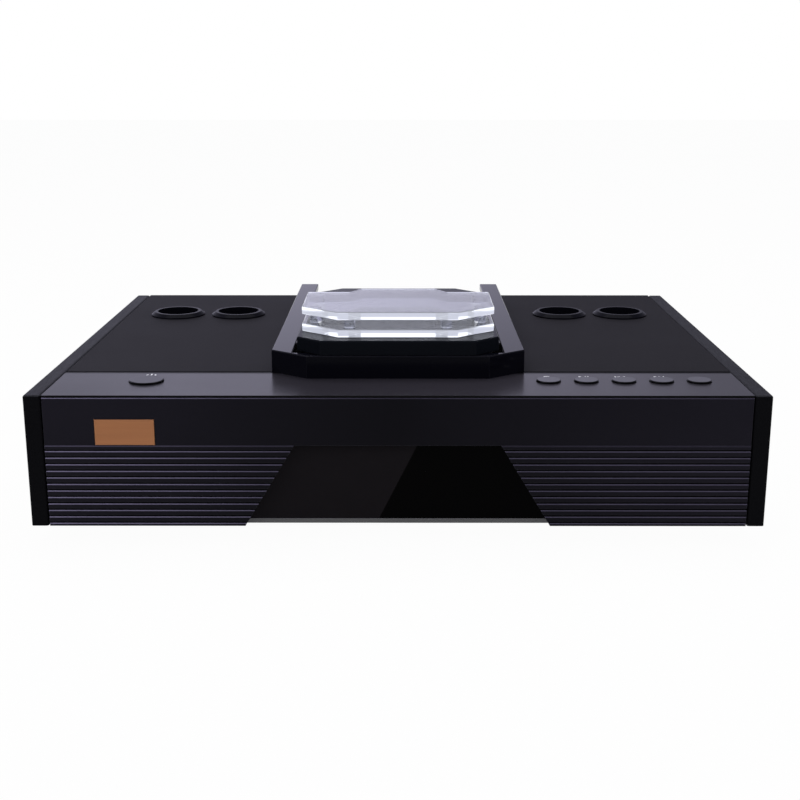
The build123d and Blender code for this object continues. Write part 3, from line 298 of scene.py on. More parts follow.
def raise_grain(tree, shader, height, strength, reach, eased=None):
    """Lets the height of a grain tilt the surface, over its own or an eased direction."""
    bump = tree.nodes.new("ShaderNodeBump")
    bump.inputs["Strength"].default_value = strength
    bump.inputs["Distance"].default_value = reach
    tree.links.new(height, bump.inputs["Height"])
    if eased is not None:
        tree.links.new(eased, bump.inputs["Normal"])
    tree.links.new(bump.outputs["Normal"], shader.inputs["Normal"])


def finish(name, colour, rough, metallic=0.0, specular=0.5, scale=900.0, stretch=(1.0, 1.0, 1.0),
           depth=0.15, mottle=0.2, spread=0.08, reach=0.0004, wear=0.5, edge_wear_and_highlight=(0.3, 0.3, 0.32),
           dust=0.0, sheen=0.0, sheen_rough=0.1, colour_socket=None, shade_socket=None):
    """A solid finish: mottled by its grain, hazed by handling, paler at its edges, partly as wear and
    partly as a painted highlight.

    Its sheen is a clear layer that shows only where the face is seen at a slant. The shade is a painted
    shade, a weight that takes both colour and sheen away where the piece lies in a dark gap.
    """
    material, tree, shader = shader_tree(name)
    grain = use_group(tree, grain_group, Scale=scale, Stretch=stretch)
    haze = use_group(tree, haze_group)
    edge_mask = use_group(tree, edge_mask_group, Reach=reach, Wear=wear)
    dark = tuple(channel * (1.0 - mottle) for channel in colour)
    light = tuple(min(1.0, channel * (1.0 + mottle)) for channel in colour)
    mottled = blend_colour(tree, grain.outputs["Height"], dark, light)
    if colour_socket is not None:
        mottled = blend_colour(tree, 1.0, mottled, colour_socket(tree), "MULTIPLY")
    specks = math_node(tree, "MULTIPLY", haze.outputs["Speck"], dust)
    dusty = blend_colour(tree, specks, mottled, dust_grey)
    surface_colour = blend_colour(tree, edge_mask.outputs["Rub"], dusty, edge_wear_and_highlight)
    shade = shade_socket(tree) if shade_socket else None
    if shade is not None:
        surface_colour = blend_colour(tree, 1.0, surface_colour, shade, "MULTIPLY")
    tree.links.new(surface_colour, shader.inputs["Base Color"])
    swing = math_node(tree, "MULTIPLY", haze.outputs["Haze"], 2.0 * spread)
    roughness = math_node(tree, "ADD", swing, rough - spread, clamp=True)
    tree.links.new(roughness, shader.inputs["Roughness"])
    raise_grain(tree, shader, grain.outputs["Height"], depth, grain_height,
                eased=edge_mask.outputs["Eased Normal"])
    shader.inputs["Metallic"].default_value = metallic
    shader.inputs["Specular IOR Level"].default_value = specular
    if sheen:
        slant = tree.nodes.new("ShaderNodeLayerWeight")
        slant.inputs["Blend"].default_value = 0.5
        slanted = math_node(tree, "POWER", slant.outputs["Facing"], 2.0)
        weight = math_node(tree, "MULTIPLY", slanted, sheen)
        if shade is not None:
            weight = math_node(tree, "MULTIPLY", weight, shade)
        tree.links.new(weight, shader.inputs["Coat Weight"])
        shader.inputs["Coat Roughness"].default_value = sheen_rough
    return material


def dress(material, *nodes):
    """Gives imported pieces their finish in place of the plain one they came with."""
    for node in nodes:
        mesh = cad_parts[node].data
        mesh.materials.clear()
        mesh.materials.append(material)


def facing_axis(tree, axis):
    """One coordinate of the surface's true direction."""
    return axis_of(tree, tree.nodes.new("ShaderNodeNewGeometry").outputs["True Normal"], axis)


def two_tones(tree, place, there, elsewhere):
    """One tone where the place's weight is one and another where it is nothing."""
    return math_node(tree, "MULTIPLY_ADD", place, there - elsewhere, elsewhere)


def plate_painted_shade(tree):
    """Painted shade: the brushed top edge keeps its colour and grain; the plate's upright faces are
    darkened to deep black.
    """
    level = math_node(tree, "GREATER_THAN", facing_axis(tree, "Z"), plate_top_from)
    return two_tones(tree, level, 1.0, upright_shade)


side_black = finish("side_plate_black", (0.025, 0.025, 0.030), 0.42, scale=1500.0,
                    stretch=(1.0, 0.12, 1.0), depth=0.9, specular=0.015, mottle=0.95,
                    edge_wear_and_highlight=(0.035, 0.035, 0.045), wear=0.6, reach=0.0005,
                    colour_socket=plate_painted_shade)
dress(side_black, "side_plate_left", "side_plate_right")

# Base tray and back panel: folded and flat sheet steel under a fine black powder coat.
# The tray carries everything inside; the back panel is screwed to it.
powder_black = finish("powder_coat", (0.010, 0.010, 0.012), 0.55, scale=1400.0, depth=0.5,
                      mottle=0.3, specular=0.2, edge_wear_and_highlight=(0.2, 0.2, 0.2), wear=0.35)
dress(powder_black, "base_tray", "back_panel")

# Top cover: folded sheet over the works, finished like the tray but matter and a little paler.
# It shows as the wide dark field on both sides of the disc bay.
cover_edge = -0.1110
cover_level = 0.0900
# How level a face must be to keep its colour, and how dark the painted shade makes gaps and the seam
level_from = 0.97
gap_shade = 0.03
seam_shade = 0.05


def place_axis(tree, axis):
    """One coordinate of the shaded point, in metres."""
    return axis_of(tree, object_place(tree), axis)


def product(tree, first, *others):
    """Several weights and tones multiplied together, in the order given."""
    for other in others:
        first = math_node(tree, "MULTIPLY", first, other)
    return first


def upper_face(height=0.0):
    """A painted shade that keeps only the level face above a height, so gaps, bores and side walls are
    painted black.
    """
    def shade(tree):
        above = math_node(tree, "GREATER_THAN", place_axis(tree, "Z"), height)
        level = math_node(tree, "GREATER_THAN", facing_axis(tree, "Z"), level_from)
        return two_tones(tree, product(tree, above, level), 1.0, gap_shade)
    return shade


def cover_shade(tree):
    """Painted shade on the cover: only its level field keeps its colour, and the eased edge that drops
    into the seam at its front is painted dark.
    """
    behind = math_node(tree, "GREATER_THAN", place_axis(tree, "Y"), cover_edge)
    return product(tree, upper_face(cover_level)(tree), two_tones(tree, behind, 1.0, seam_shade))


cover_black = finish("cover_coat", (0.0100, 0.0094, 0.0112), 0.62, scale=1600.0, depth=0.35,
                     mottle=0.25, specular=0.04, spread=0.04, edge_wear_and_highlight=(0.12, 0.12, 0.13), wear=0.4,
                     dust=0.1, sheen=0.015, sheen_rough=0.5, shade_socket=cover_shade)
dress(cover_black, "top_cover")

# Front panel: one thick extrusion, blasted and anodised satin black, with twelve cut grooves.
# The grooves' lower lips and the rounded top lip carry a painted highlight, and the grooves' roots a
# painted shade; the badge and the window are let into it.
# Where its lips, step and grooves lie, how far they are moved, and how the window's ends lean
lip_front = -0.1697
lip_foot = 0.0895
lip_drop = 0.0014
top_lip_low = 0.0850
upper_step = 0.0590
groove_front = -0.1706
groove_root = -0.17145
groove_first = 0.01245
groove_pitch = 0.004
groove_levels = (0.0, 0.0005, 0.0016)
groove_rise = 0.0007
window_lean = 0.6
window_reach = 0.1
# How the slanting lips are told by their direction, how deep the painted shade is and how bright the
# painted highlights are at each place
lip_slant = 0.7
lip_slant_spread = 0.17
rounded_from = 0.2
lip_highlight_middle = 17.0
lip_highlight_across = -42.0
upper_highlight_share = 0.3
groove_root_shade = 0.07
middle_shade = 0.38
tone_per_metre = 3.2
drift_scale = 9.0
drift_least = 0.65
drift_range = 0.7


def panel_painted_light(tree):
    """Painted shade deeper towards the middle, in soft drifts; a painted highlight on each slanting lip
    and on the rounded top lip, brighter at the left.
    """
    aside = math_node(tree, "ABSOLUTE", place_axis(tree, "X"))
    across = math_node(tree, "MULTIPLY_ADD", aside, tone_per_metre, middle_shade)
    drift = tree.nodes.new("ShaderNodeTexNoise")
    drift.inputs["Scale"].default_value = drift_scale
    tree.links.new(object_place(tree), drift.inputs["Vector"])
    drifting = math_node(tree, "MULTIPLY_ADD", drift.outputs["Fac"], drift_range, drift_least)
    slanting = math_node(tree, "COMPARE", facing_axis(tree, "Z"), lip_slant, lip_slant_spread)
    lit = math_node(tree, "MULTIPLY_ADD", place_axis(tree, "X"), lip_highlight_across, lip_highlight_middle)
    under_step = math_node(tree, "LESS_THAN", place_axis(tree, "Z"), upper_step)
    lips = product(tree, lit, two_tones(tree, under_step, 1.0, upper_highlight_share), slanting)
    top_lip = math_node(tree, "GREATER_THAN", place_axis(tree, "Z"), top_lip_low)
    turned_up = math_node(tree, "GREATER_THAN", facing_axis(tree, "Z"), rounded_from)
    edge = product(tree, top_lip, turned_up, lit)
    raised = math_node(tree, "MAXIMUM", math_node(tree, "MAXIMUM", lips, edge), 1.0)
    return product(tree, across, drifting, raised)


def panel_shade(tree):
    """Painted shade: black in the roots of the grooves, which lie behind their lips."""
    deep = math_node(tree, "GREATER_THAN", place_axis(tree, "Y"), groove_root)
    low = math_node(tree, "LESS_THAN", place_axis(tree, "Z"), upper_step)
    return two_tones(tree, product(tree, deep, low), groove_root_shade, 1.0)


def welded_copy(node):
    """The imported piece's mesh with its corners joined, ready to be reshaped."""
    shape = bmesh.new()
    shape.from_mesh(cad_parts[node].data)
    bmesh.ops.remove_doubles(shape, verts=shape.verts, dist=1e-6)
    return shape


def case_piece(mesh, name, slot, *replaced):
    """Makes a piece of the case from a finished mesh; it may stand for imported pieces."""
    piece = bpy.data.objects.new(name, mesh)
    scene.collection.objects.link(piece)
    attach(piece, "case")
    if replaced:
        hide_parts(*replaced)


def new_piece(shape, name, material, slot, *replaced):
    """Makes a smooth piece of the case from a bmesh, with its corners kept sharp."""
    mesh = bpy.data.meshes.new(name)
    shape.to_mesh(mesh)
    shape.free()
    if "custom_normal" in mesh.attributes:
        mesh.attributes.remove(mesh.attributes["custom_normal"])
    mesh.shade_smooth()
    mesh.set_sharp_from_angle(angle=math.radians(25.0))
    mesh.materials.clear()
    mesh.materials.append(material)
    case_piece(mesh, name, slot, *replaced)


panel_black = finish("panel_black", (0.0095, 0.0085, 0.0135), 0.42, scale=2200.0, depth=0.25,
                     mottle=0.25, specular=0.06, reach=0.0003, edge_wear_and_highlight=(0.16, 0.16, 0.19), wear=0.5,
                     sheen=0.5, sheen_rough=0.2, colour_socket=panel_painted_light, shade_socket=panel_shade)
panel_shape = welded_copy("front_panel")
level_slack = groove_levels[1] / 10
for vertex in panel_shape.verts:
    if vertex.co.y < lip_front and vertex.co.z > lip_foot:
        vertex.co.z -= lip_drop
    phase = (vertex.co.z - groove_first + level_slack) % groove_pitch - level_slack
    on_groove = min(abs(phase - level) for level in groove_levels) < level_slack / 2
    if on_groove and vertex.co.y < groove_front and vertex.co.z < upper_step:
        vertex.co.z += groove_rise
        if abs(vertex.co.x) < window_reach:
            vertex.co.x -= math.copysign(window_lean * groove_rise, vertex.co.x)
new_piece(panel_shape, "grooved_panel", panel_black, "satin_anodised", "front_panel")

# Display window: a slab of smoked acrylic, polished, with a metal sill under its edge.
# Left of a slanting line a painted glare makes it paler; right of that line it is much deeper. The tube
# behind it only shows when it is lit.
glare_top = (0.0060, 0.049)
glare_foot = (-0.0160, 0.005)
glare_blur = 0.0003
unglared_share = 0.06


def slanting_glare(tree):
    """A painted glare that is full left of the slanting line and low right of it."""
    slope = (glare_top[0] - glare_foot[0]) / (glare_top[1] - glare_foot[1])
    line = glare_foot[0] - slope * glare_foot[1]
    lean = math_node(tree, "MULTIPLY", place_axis(tree, "Z"), slope)
    aside = math_node(tree, "SUBTRACT", place_axis(tree, "X"), lean)
    return ramp(tree, aside, line - glare_blur, line + glare_blur, 1.0, unglared_share)


window_smoke = finish("smoked_acrylic", (0.010, 0.0085, 0.010), 0.06, scale=60.0, depth=0.01,
                      mottle=0.1, spread=0.02, specular=0.02, reach=0.0003, edge_wear_and_highlight=(0.02, 0.02, 0.02),
                      wear=0.3, sheen=0.8, sheen_rough=0.03, colour_socket=slanting_glare)
dress(window_smoke, "display_window")
sill_grey = finish("sill_metal", (0.105, 0.105, 0.106), 0.35, metallic=0.6, scale=700.0,
                   stretch=(0.05, 1.0, 1.0), depth=0.2, edge_wear_and_highlight=(0.25, 0.25, 0.25))
dress(sill_grey, "window_sill")
display_dark = finish("display_glass", (0.012, 0.03, 0.03), 0.08, scale=300.0, depth=0.02,
                      specular=0.5, edge_wear_and_highlight=(0.05, 0.07, 0.07))
dress(display_dark, "display_tube")

# Badge plate: a small plate of copper-coloured metal with a long grain, let into the panel.
# It is bare.
badge_copper = finish("badge_copper", (0.37, 0.15, 0.058), 0.38, metallic=0.55, scale=420.0,
                      stretch=(0.04, 1.0, 1.0), depth=0.25, mottle=0.15, edge_wear_and_highlight=(0.6, 0.36, 0.2),
                      wear=0.6, reach=0.0004)
dress(badge_copper, "badge_plate")

# Control strip: a satin black plate that carries the buttons and meets the cover in a fine seam.
# Its front edge runs out over the panel's lip as a thin nose. Seen low, its sheen is lavender grey.
nose_under = 0.0898
nose_front = -0.1719
face_slack = 1e-5
strip_edge = -0.1182
strip_level = 0.0905
# How the painted reflection runs across the strip and fades at its ends
reflection_middle = 1.15
reflection_per_metre = 1.6
ends_from = 0.125
ends_to = 0.200
ends_reflection = 0.58


def strip_painted_light(tree):
    """A painted reflection of the room on the strip: brightest inside its ends, a little more to the
    right; its rear edge, gaps and bores are painted dark as shade.
    """
    slope = math_node(tree, "MULTIPLY_ADD", place_axis(tree, "X"), reflection_per_metre, reflection_middle)
    aside = math_node(tree, "ABSOLUTE", place_axis(tree, "X"))
    ends = ramp(tree, aside, ends_from, ends_to, 1.0, ends_reflection, "SMOOTHSTEP")
    ahead = math_node(tree, "LESS_THAN", place_axis(tree, "Y"), strip_edge)
    kept = two_tones(tree, ahead, 1.0, seam_shade)
    return product(tree, slope, ends, kept, upper_face(strip_level)(tree))


strip_satin = finish("strip_satin", (0.0235, 0.0215, 0.028), 0.34, scale=2600.0, depth=0.12,
                     mottle=0.2, specular=0.08, spread=0.05, edge_wear_and_highlight=(0.10, 0.10, 0.12), wear=0.4,
                     sheen=0.46, sheen_rough=0.16, shade_socket=strip_painted_light)
strip_shape = welded_copy("control_strip")
strip_front = min(vertex.co.y for vertex in strip_shape.verts)


def foremost_faces(low):
    """The faces in the strip's front plane whose middle is above a height."""
    middles = ((face, face.calc_center_median()) for face in strip_shape.faces)
    return [face for face, middle in middles if middle.y < strip_front + face_slack and middle.z > low]


front_faces = foremost_faces(0.0)
front_edges = list(dict.fromkeys(edge for face in front_faces for edge in face.edges))
front_corners = list(dict.fromkeys(corner for face in front_faces for corner in face.verts))
bmesh.ops.bisect_plane(strip_shape, geom=front_faces + front_edges + front_corners, dist=1e-7,
                       plane_co=(0.0, 0.0, nose_under), plane_no=(0.0, 0.0, 1.0))
upper_faces = foremost_faces(nose_under)
carried = bmesh.ops.extrude_face_region(strip_shape, geom=upper_faces)["geom"]
spent_faces = [face for face in upper_faces if face.is_valid]
bmesh.ops.delete(strip_shape, geom=spent_faces, context="FACES_ONLY")
for vertex in [item for item in carried if isinstance(item, bmesh.types.BMVert)]:
    vertex.co.y = nose_front
bmesh.ops.recalc_face_normals(strip_shape, faces=strip_shape.faces)
new_piece(strip_shape, "nosed_strip", strip_satin, "satin_anodised", "control_strip")

# Symbols: small white marks printed on the strip behind the power button and four of the others.
# They are the common ones for power, stop, play or pause, back and on. The small ones are 3.4 mm
# deep, and the one for power is 6 mm across.
symbol_white = finish("symbol_white", (0.90, 0.90, 0.94), 0.5, scale=1500.0, depth=0.05, mottle=0.05,
                      edge_wear_and_highlight=(0.5, 0.5, 0.52))
symbol_half = 0.0017
symbol_y = -0.1265
power_symbol_y = -0.1225
print_low = 0.09101
print_high = 0.09106
arc_inner = 1.2
arc_outer = 1.8
arc_steps = 20
arc_open = math.radians(50.0)
power_bar = 0.28


def printed(shape, corners, centre):
    """Adds a flat printed area to a bmesh from its corners, in half heights round a centre."""
    rings = []
    for height in (print_low, print_high):
        rings.append([shape.verts.new((centre[0] + symbol_half * x, centre[1] + symbol_half * y, height))
                      for x, y in corners])
    shape.faces.new(rings[1])
    shape.faces.new(list(reversed(rings[0])))
    count = len(corners)
    for index in range(count):
        after = (index + 1) % count
        shape.faces.new((rings[0][index], rings[0][after], rings[1][after], rings[1][index]))


def bar(left, right):
    """An upright bar between two abscissas."""
    return [(left, -1.0), (right, -1.0), (right, 1.0), (left, 1.0)]


def arrow(tail, tip):
    """A triangle that points from its tail to its tip."""
    corners = [(tail, -1.0), (tip, 0.0), (tail, 1.0)]
    return corners if tip > tail else list(reversed(corners))


marks = {
    "control_button_1": [[(-1.0, -1.0), (1.0, -1.0), (1.0, 1.0), (-1.0, 1.0)]],
    "control_button_2": [arrow(-1.8, -0.1), bar(0.4, 0.9), bar(1.3, 1.8)],
    "control_button_3": [bar(-2.2, -1.8), arrow(-0.2, -1.7), arrow(1.5, 0.0)],
    "control_button_4": [arrow(-1.5, 0.0), arrow(0.2, 1.7), bar(1.8, 2.2)],
}
symbol_shape = bmesh.new()
for node, areas in marks.items():
    low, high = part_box(node)
    for corners in areas:
        printed(symbol_shape, corners, ((low.x + high.x) / 2, symbol_y))
low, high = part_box("power_button")
power_centre = ((low.x + high.x) / 2, power_symbol_y)
printed(symbol_shape, bar(-power_bar, power_bar), (power_centre[0], power_centre[1] + symbol_half))
arc_step = (2 * math.pi - 2 * arc_open) / arc_steps
for step in range(arc_steps):
    start = math.pi / 2 + arc_open + step * arc_step
    end = start + arc_step
    ring = [(reach * math.cos(turn), reach * math.sin(turn)) for reach, turn in
            ((arc_inner, start), (arc_outer, start), (arc_outer, end), (arc_inner, end))]
    printed(symbol_shape, ring, power_centre)
new_piece(symbol_shape, "strip_symbols", symbol_white, "satin_anodised")

# Buttons: turned aluminium caps, anodised like the strip, with the lathe's fine rings on top.
# Each one moves down by itself on the switch under it.
ring_depth = 0.12
cap_ring_pitch = 0.0004
# The power cap gets a deeper colour and less sheen and the small caps a paler colour: painted shade and
# painted light on one finish.
power_cap_shaded = ((0.010, 0.010, 0.014), 0.28)
small_cap_lit = ((0.030, 0.030, 0.038), 1.0)


def turning_rings(centre, pitch):
    """A tone that rings a turned piece's axis, as its cutting tool leaves it."""
    def rings(tree):
        shift = tree.nodes.new("ShaderNodeMapping")
        shift.inputs["Location"].default_value = (-centre[0], -centre[1], 0.0)
        flat = tree.nodes.new("ShaderNodeVectorMath")
        flat.operation = "MULTIPLY"
        flat.inputs[1].default_value = (1.0, 1.0, 0.0)
        reach = tree.nodes.new("ShaderNodeVectorMath")
        reach.operation = "LENGTH"
        tree.links.new(object_place(tree), shift.inputs["Vector"])
        tree.links.new(shift.outputs["Vector"], flat.inputs[0])
        tree.links.new(flat.outputs["Vector"], reach.inputs[0])
        turns = math_node(tree, "MULTIPLY", reach.outputs["Value"], 2.0 * math.pi / pitch)
        wave = math_node(tree, "SINE", turns)
        return math_node(tree, "MULTIPLY_ADD", wave, ring_depth, 1.0 - ring_depth)
    return rings


button_names = ["power_button"] + [f"control_button_{number}" for number in range(1, 6)]
for button in button_names:
    low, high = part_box(button)
    cap_colour, cap_sheen = power_cap_shaded if button == "power_button" else small_cap_lit
    # The caps' sides and edges are painted black as shade, which outlines each cap.
    cap = finish(f"cap_{button}", cap_colour, 0.3, scale=2400.0, depth=0.1, mottle=0.2, specular=0.08,
                 spread=0.04, edge_wear_and_highlight=(0.2, 0.2, 0.23), wear=0.8, reach=0.0003, sheen=cap_sheen,
                 sheen_rough=0.14, colour_socket=turning_rings((low + high) / 2, cap_ring_pitch),
                 shade_socket=upper_face())
    dress(cap, button)

# Disc bay: a mitred frame of polished black aluminium round a moulded deck with the disc's well.
# The frame's rails are grooved inside for the door's runners.
bay_gloss = finish("bay_gloss", (0.003, 0.003, 0.006), 0.14, scale=900.0, depth=0.04, mottle=0.2,
                   specular=0.04, spread=0.04, edge_wear_and_highlight=(0.10, 0.10, 0.12), wear=0.5, reach=0.0005,
                   sheen=0.35, sheen_rough=0.06)
dress(bay_gloss, "bay_frame")
deck_plastic = finish("deck_plastic", (0.014, 0.014, 0.015), 0.5, scale=1300.0, depth=0.4,
                      mottle=0.25, specular=0.4, edge_wear_and_highlight=(0.06, 0.06, 0.06))
dress(deck_plastic, "bay_deck")

# Sliding door: a polished black plate on black nylon runners, with a clear two-plate grip on it.
# The fingers go between the clear plates to draw the door back over the rails.
door_gloss = finish("door_gloss", (0.005, 0.006, 0.009), 0.16, scale=900.0, depth=0.04, mottle=0.2,
                    specular=0.02, spread=0.04, edge_wear_and_highlight=(0.05, 0.05, 0.06), wear=0.5, reach=0.0005,
                    sheen=0.02, sheen_rough=0.06)
dress(door_gloss, "door_plate")
runner_nylon = finish("runner_nylon", (0.012, 0.012, 0.013), 0.45, scale=800.0, depth=0.2,
                      mottle=0.15, specular=0.3, edge_wear_and_highlight=(0.04, 0.04, 0.042))
dress(runner_nylon, "door_runners")
acrylic_edge_shade = (0.22, 0.24, 0.30)
acrylic_index = 1.45
acrylic_mirror = 0.38
acrylic_polish = 0.002
acrylic_ripple = 0.002
acrylic_mottle = 0.01
top_from = 0.9
rear_from = 0.3
front_from = -0.5
painted_glow_colour = (0.86, 0.89, 1.0)


def clear_plastic(name, tint, rough, sawn=0.0, painted_glow=0.0, top_shade=1.0):
    """Clear acrylic, faintly hazed, with a painted dark outline at its edges; rear edges may be sawn,
    front faces may glow with painted light and upward faces may carry a painted shade.
    """
    material, tree, shader = shader_tree(name)
    haze = use_group(tree, haze_group, Cloud_Scale=30.0)
    grain = use_group(tree, grain_group, Scale=45.0)
    edge_mask = use_group(tree, edge_mask_group, Reach=0.0004, Wear=0.9)
    paler = tuple(min(1.0, channel * (1.0 + acrylic_mottle)) for channel in tint)
    clean = blend_colour(tree, grain.outputs["Height"], tint, paler)
    level = math_node(tree, "GREATER_THAN", facing_axis(tree, "Z"), top_from)
    # Sharp edges get a painted dark outline.
    outlined = blend_colour(tree, edge_mask.outputs["Rub"], clean, acrylic_edge_shade)
    # Upward faces may be darkened as painted shade.
    top_shaded = blend_colour(tree, 1.0, outlined, two_tones(tree, level, top_shade, 1.0), "MULTIPLY")
    tree.links.new(top_shaded, shader.inputs["Base Color"])
    rough_haze = math_node(tree, "MULTIPLY", haze.outputs["Haze"], rough)
    polished = math_node(tree, "ADD", rough_haze, acrylic_polish)
    rearward = math_node(tree, "GREATER_THAN", facing_axis(tree, "Y"), rear_from)
    sawn_rough = math_node(tree, "MULTIPLY", rearward, sawn)
    tree.links.new(math_node(tree, "ADD", polished, sawn_rough), shader.inputs["Roughness"])
    raise_grain(tree, shader, grain.outputs["Height"], acrylic_ripple, grain_height / 2)
    shader.inputs["Transmission Weight"].default_value = 1.0
    shader.inputs["IOR"].default_value = acrylic_index
    shader.inputs["Specular IOR Level"].default_value = acrylic_mirror
    # Front faces away from the edges glow with painted light, though no lamp is there.
    if painted_glow:
        inside_edges = math_node(tree, "SUBTRACT", 1.0, edge_mask.outputs["Rub"])
        forward = math_node(tree, "LESS_THAN", facing_axis(tree, "Y"), front_from)
        glow = blend_colour(tree, product(tree, inside_edges, forward), (0.0, 0.0, 0.0), painted_glow_colour)
        tree.links.new(glow, shader.inputs["Emission Color"])
        shader.inputs["Emission Strength"].default_value = painted_glow
    return material


plate_tint = (0.72, 0.74, 0.82)
upper_clear = clear_plastic("upper_acrylic", plate_tint, 0.01, sawn=0.03, painted_glow=0.34)
dress(upper_clear, "door_upper_glass")
lower_clear = clear_plastic("lower_acrylic", plate_tint, 0.01, sawn=0.03, painted_glow=0.34, top_shade=0.4)
dress(lower_clear, "door_lower_glass")
post_clear = clear_plastic("post_acrylic", (0.80, 0.82, 0.90), 0.01)
dress(post_clear, "door_glass_posts")

# Vent rings: turned collars with a conical rim, pressed into the cover over the valves.
# Their bores are black inside; the rims are satin and catch the light.
rim_ring_pitch = 0.0005
for number in range(1, 5):
    ring = f"vent_ring_{number}"
    low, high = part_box(ring)
    ring_black = finish(f"ring_{number}", (0.004, 0.004, 0.007), 0.25, scale=1800.0, depth=0.1,
                        mottle=0.2, edge_wear_and_highlight=(0.03, 0.03, 0.036), wear=0.5, reach=0.0003,
                        specular=0.02, sheen=0.05, sheen_rough=0.12,
                        colour_socket=turning_rings((low + high) / 2, rim_ring_pitch))
    dress(ring_black, ring)

# Works inside the case: plated steel, machined aluminium, nylon, brass, laminate and ceramic.
# They show through the vents, the well's openings and when the door is drawn back.
steel = finish("plated_steel", (0.5, 0.5, 0.52), 0.32, metallic=1.0, scale=600.0,
               stretch=(0.2, 1.0, 1.0), depth=0.15, mottle=0.08, edge_wear_and_highlight=(0.7, 0.7, 0.7))
dress(steel, "mech_chassis", "suspension_posts", "spindle_motor", "spindle_shaft", "guide_rods",
      "sled_motor", "transformer_clamp")
machined = finish("machined_aluminium", (0.62, 0.62, 0.64), 0.28, metallic=1.0, scale=700.0,
                  depth=0.12, mottle=0.06, edge_wear_and_highlight=(0.8, 0.8, 0.8))
dress(machined, "spindle_hub", "disc_clamp", "regulator_heatsink")
moulded = finish("moulded_black", (0.02, 0.02, 0.021), 0.42, scale=1200.0, depth=0.3,
                 edge_wear_and_highlight=(0.07, 0.07, 0.07))
dress(moulded, "pickup_sled", "key_switches", "mains_inlet")
nylon_white = finish("gear_nylon", (0.68, 0.67, 0.62), 0.4, scale=900.0, depth=0.15, mottle=0.05,
                     edge_wear_and_highlight=(0.8, 0.8, 0.76))
dress(nylon_white, "drive_gear")
brass = finish("machined_brass", (0.55, 0.38, 0.13), 0.3, metallic=1.0, scale=700.0, depth=0.12,
               mottle=0.08, edge_wear_and_highlight=(0.8, 0.65, 0.35))
dress(brass, "motor_pinion", "board_standoffs")
laminate = finish("board_laminate", (0.012, 0.06, 0.025), 0.35, scale=350.0, depth=0.2, mottle=0.35,
                  edge_wear_and_highlight=(0.35, 0.3, 0.15))
dress(laminate, "switch_boards", "display_board", "valve_boards", "converter_board", "supply_board")
# The sockets are coloured near black as painted shade, so the insides of the vents stay dark.
ceramic = finish("socket_ceramic", (0.05, 0.045, 0.04), 0.3, scale=500.0, depth=0.1, mottle=0.05,
                 edge_wear_and_highlight=(0.12, 0.11, 0.10))
dress(ceramic, "tube_sockets")
rubber = finish("soft_rubber", (0.016, 0.016, 0.016), 0.75, scale=1000.0, depth=0.4,
                specular=0.25, edge_wear_and_highlight=(0.05, 0.05, 0.05))
dress(rubber, "suspension_grommets", "transformer_pad", "foot_pads")
winding = finish("taped_winding", (0.34, 0.13, 0.035), 0.45, metallic=0.3, scale=260.0,
                 stretch=(1.0, 1.0, 0.1), depth=0.6, mottle=0.35, edge_wear_and_highlight=(0.5, 0.25, 0.1))
dress(winding, "transformer")
sleeve = finish("capacitor_sleeve", (0.02, 0.03, 0.07), 0.3, scale=300.0, depth=0.05, mottle=0.1,
                edge_wear_and_highlight=(0.1, 0.12, 0.2))
dress(sleeve, "smoothing_capacitors")
lens_clear = clear_plastic("pickup_lens", (0.55, 0.62, 0.9), 0.02)
dress(lens_clear, "pickup_lens")
valve_clear = clear_plastic("valve_glass", (0.9, 0.95, 0.95), 0.03)
dress(valve_clear, "vacuum_tubes")
optical_end = 0.078
optical_tone = 0.02


def line_sockets(tree):
    """Gold for the round sockets and black for the optical one at their inner end."""
    gilded = math_node(tree, "GREATER_THAN", place_axis(tree, "X"), optical_end)
    return two_tones(tree, gilded, 1.0, optical_tone)


gold = finish("gold_plate", (0.75, 0.5, 0.17), 0.22, metallic=1.0, scale=700.0, depth=0.08,
              mottle=0.05, edge_wear_and_highlight=(0.85, 0.65, 0.35), shade_socket=line_sockets)
dress(gold, "rear_jacks")

# Feet: turned cups, anodised black, each with a rubber ring let into its underside.
# They stand back from the edges, out of sight from the front.
foot_black = finish("foot_black", (0.015, 0.015, 0.018), 0.33, scale=1200.0, depth=0.15,
                    edge_wear_and_highlight=(0.25, 0.25, 0.27))
dress(foot_black, "feet")

# Case screws: pan heads with a cross recess, on the back, inside the tray's ends and in the feet.
# The heads are 5.6 mm across and 2.3 mm high with their crown; those in the feet are larger alike.
screw_sizes = {"Head Radius": 0.0028, "Head Height": 0.0019, "Shank Radius": 0.0015,
               "Shank Length": 0.0076, "Recess Width": 0.0006}
rim_share = 0.55
crown_share = 0.66
recess_share = 1.1
rear_face = 0.158
rear_across = (-0.185, -0.062, 0.062, 0.185)
rear_up = (0.0230, 0.0845)
tray_end = 0.2035
tray_along = (-0.132, -0.007, 0.118)
tray_up = 0.0252
foot_across = 0.173
foot_along = (-0.114, 0.100)
foot_seat = 0.0060
foot_grade = 1.37
screw_tree = bpy.data.node_groups.new("cross_screws", "GeometryNodeTree")
screw_tree.interface.new_socket("Points", in_out="INPUT", socket_type="NodeSocketGeometry")
screw_tree.interface.new_socket("Screws", in_out="OUTPUT", socket_type="NodeSocketGeometry")
for size in screw_sizes:
    screw_tree.interface.new_socket(size, in_out="INPUT", socket_type="NodeSocketFloat")
screw_tree.interface.new_socket("Finish", in_out="INPUT", socket_type="NodeSocketMaterial")
screw_in = screw_tree.nodes.new("NodeGroupInput")
screw_out = screw_tree.nodes.new("NodeGroupOutput")


def screw_node(kind, **links):
    """A node of the screw tree with its inputs linked by name; underscores stand for spaces."""
    node = screw_tree.nodes.new(kind)
    for name, source in links.items():
        screw_tree.links.new(source, node.inputs[name.replace("_", " ")])
    return node


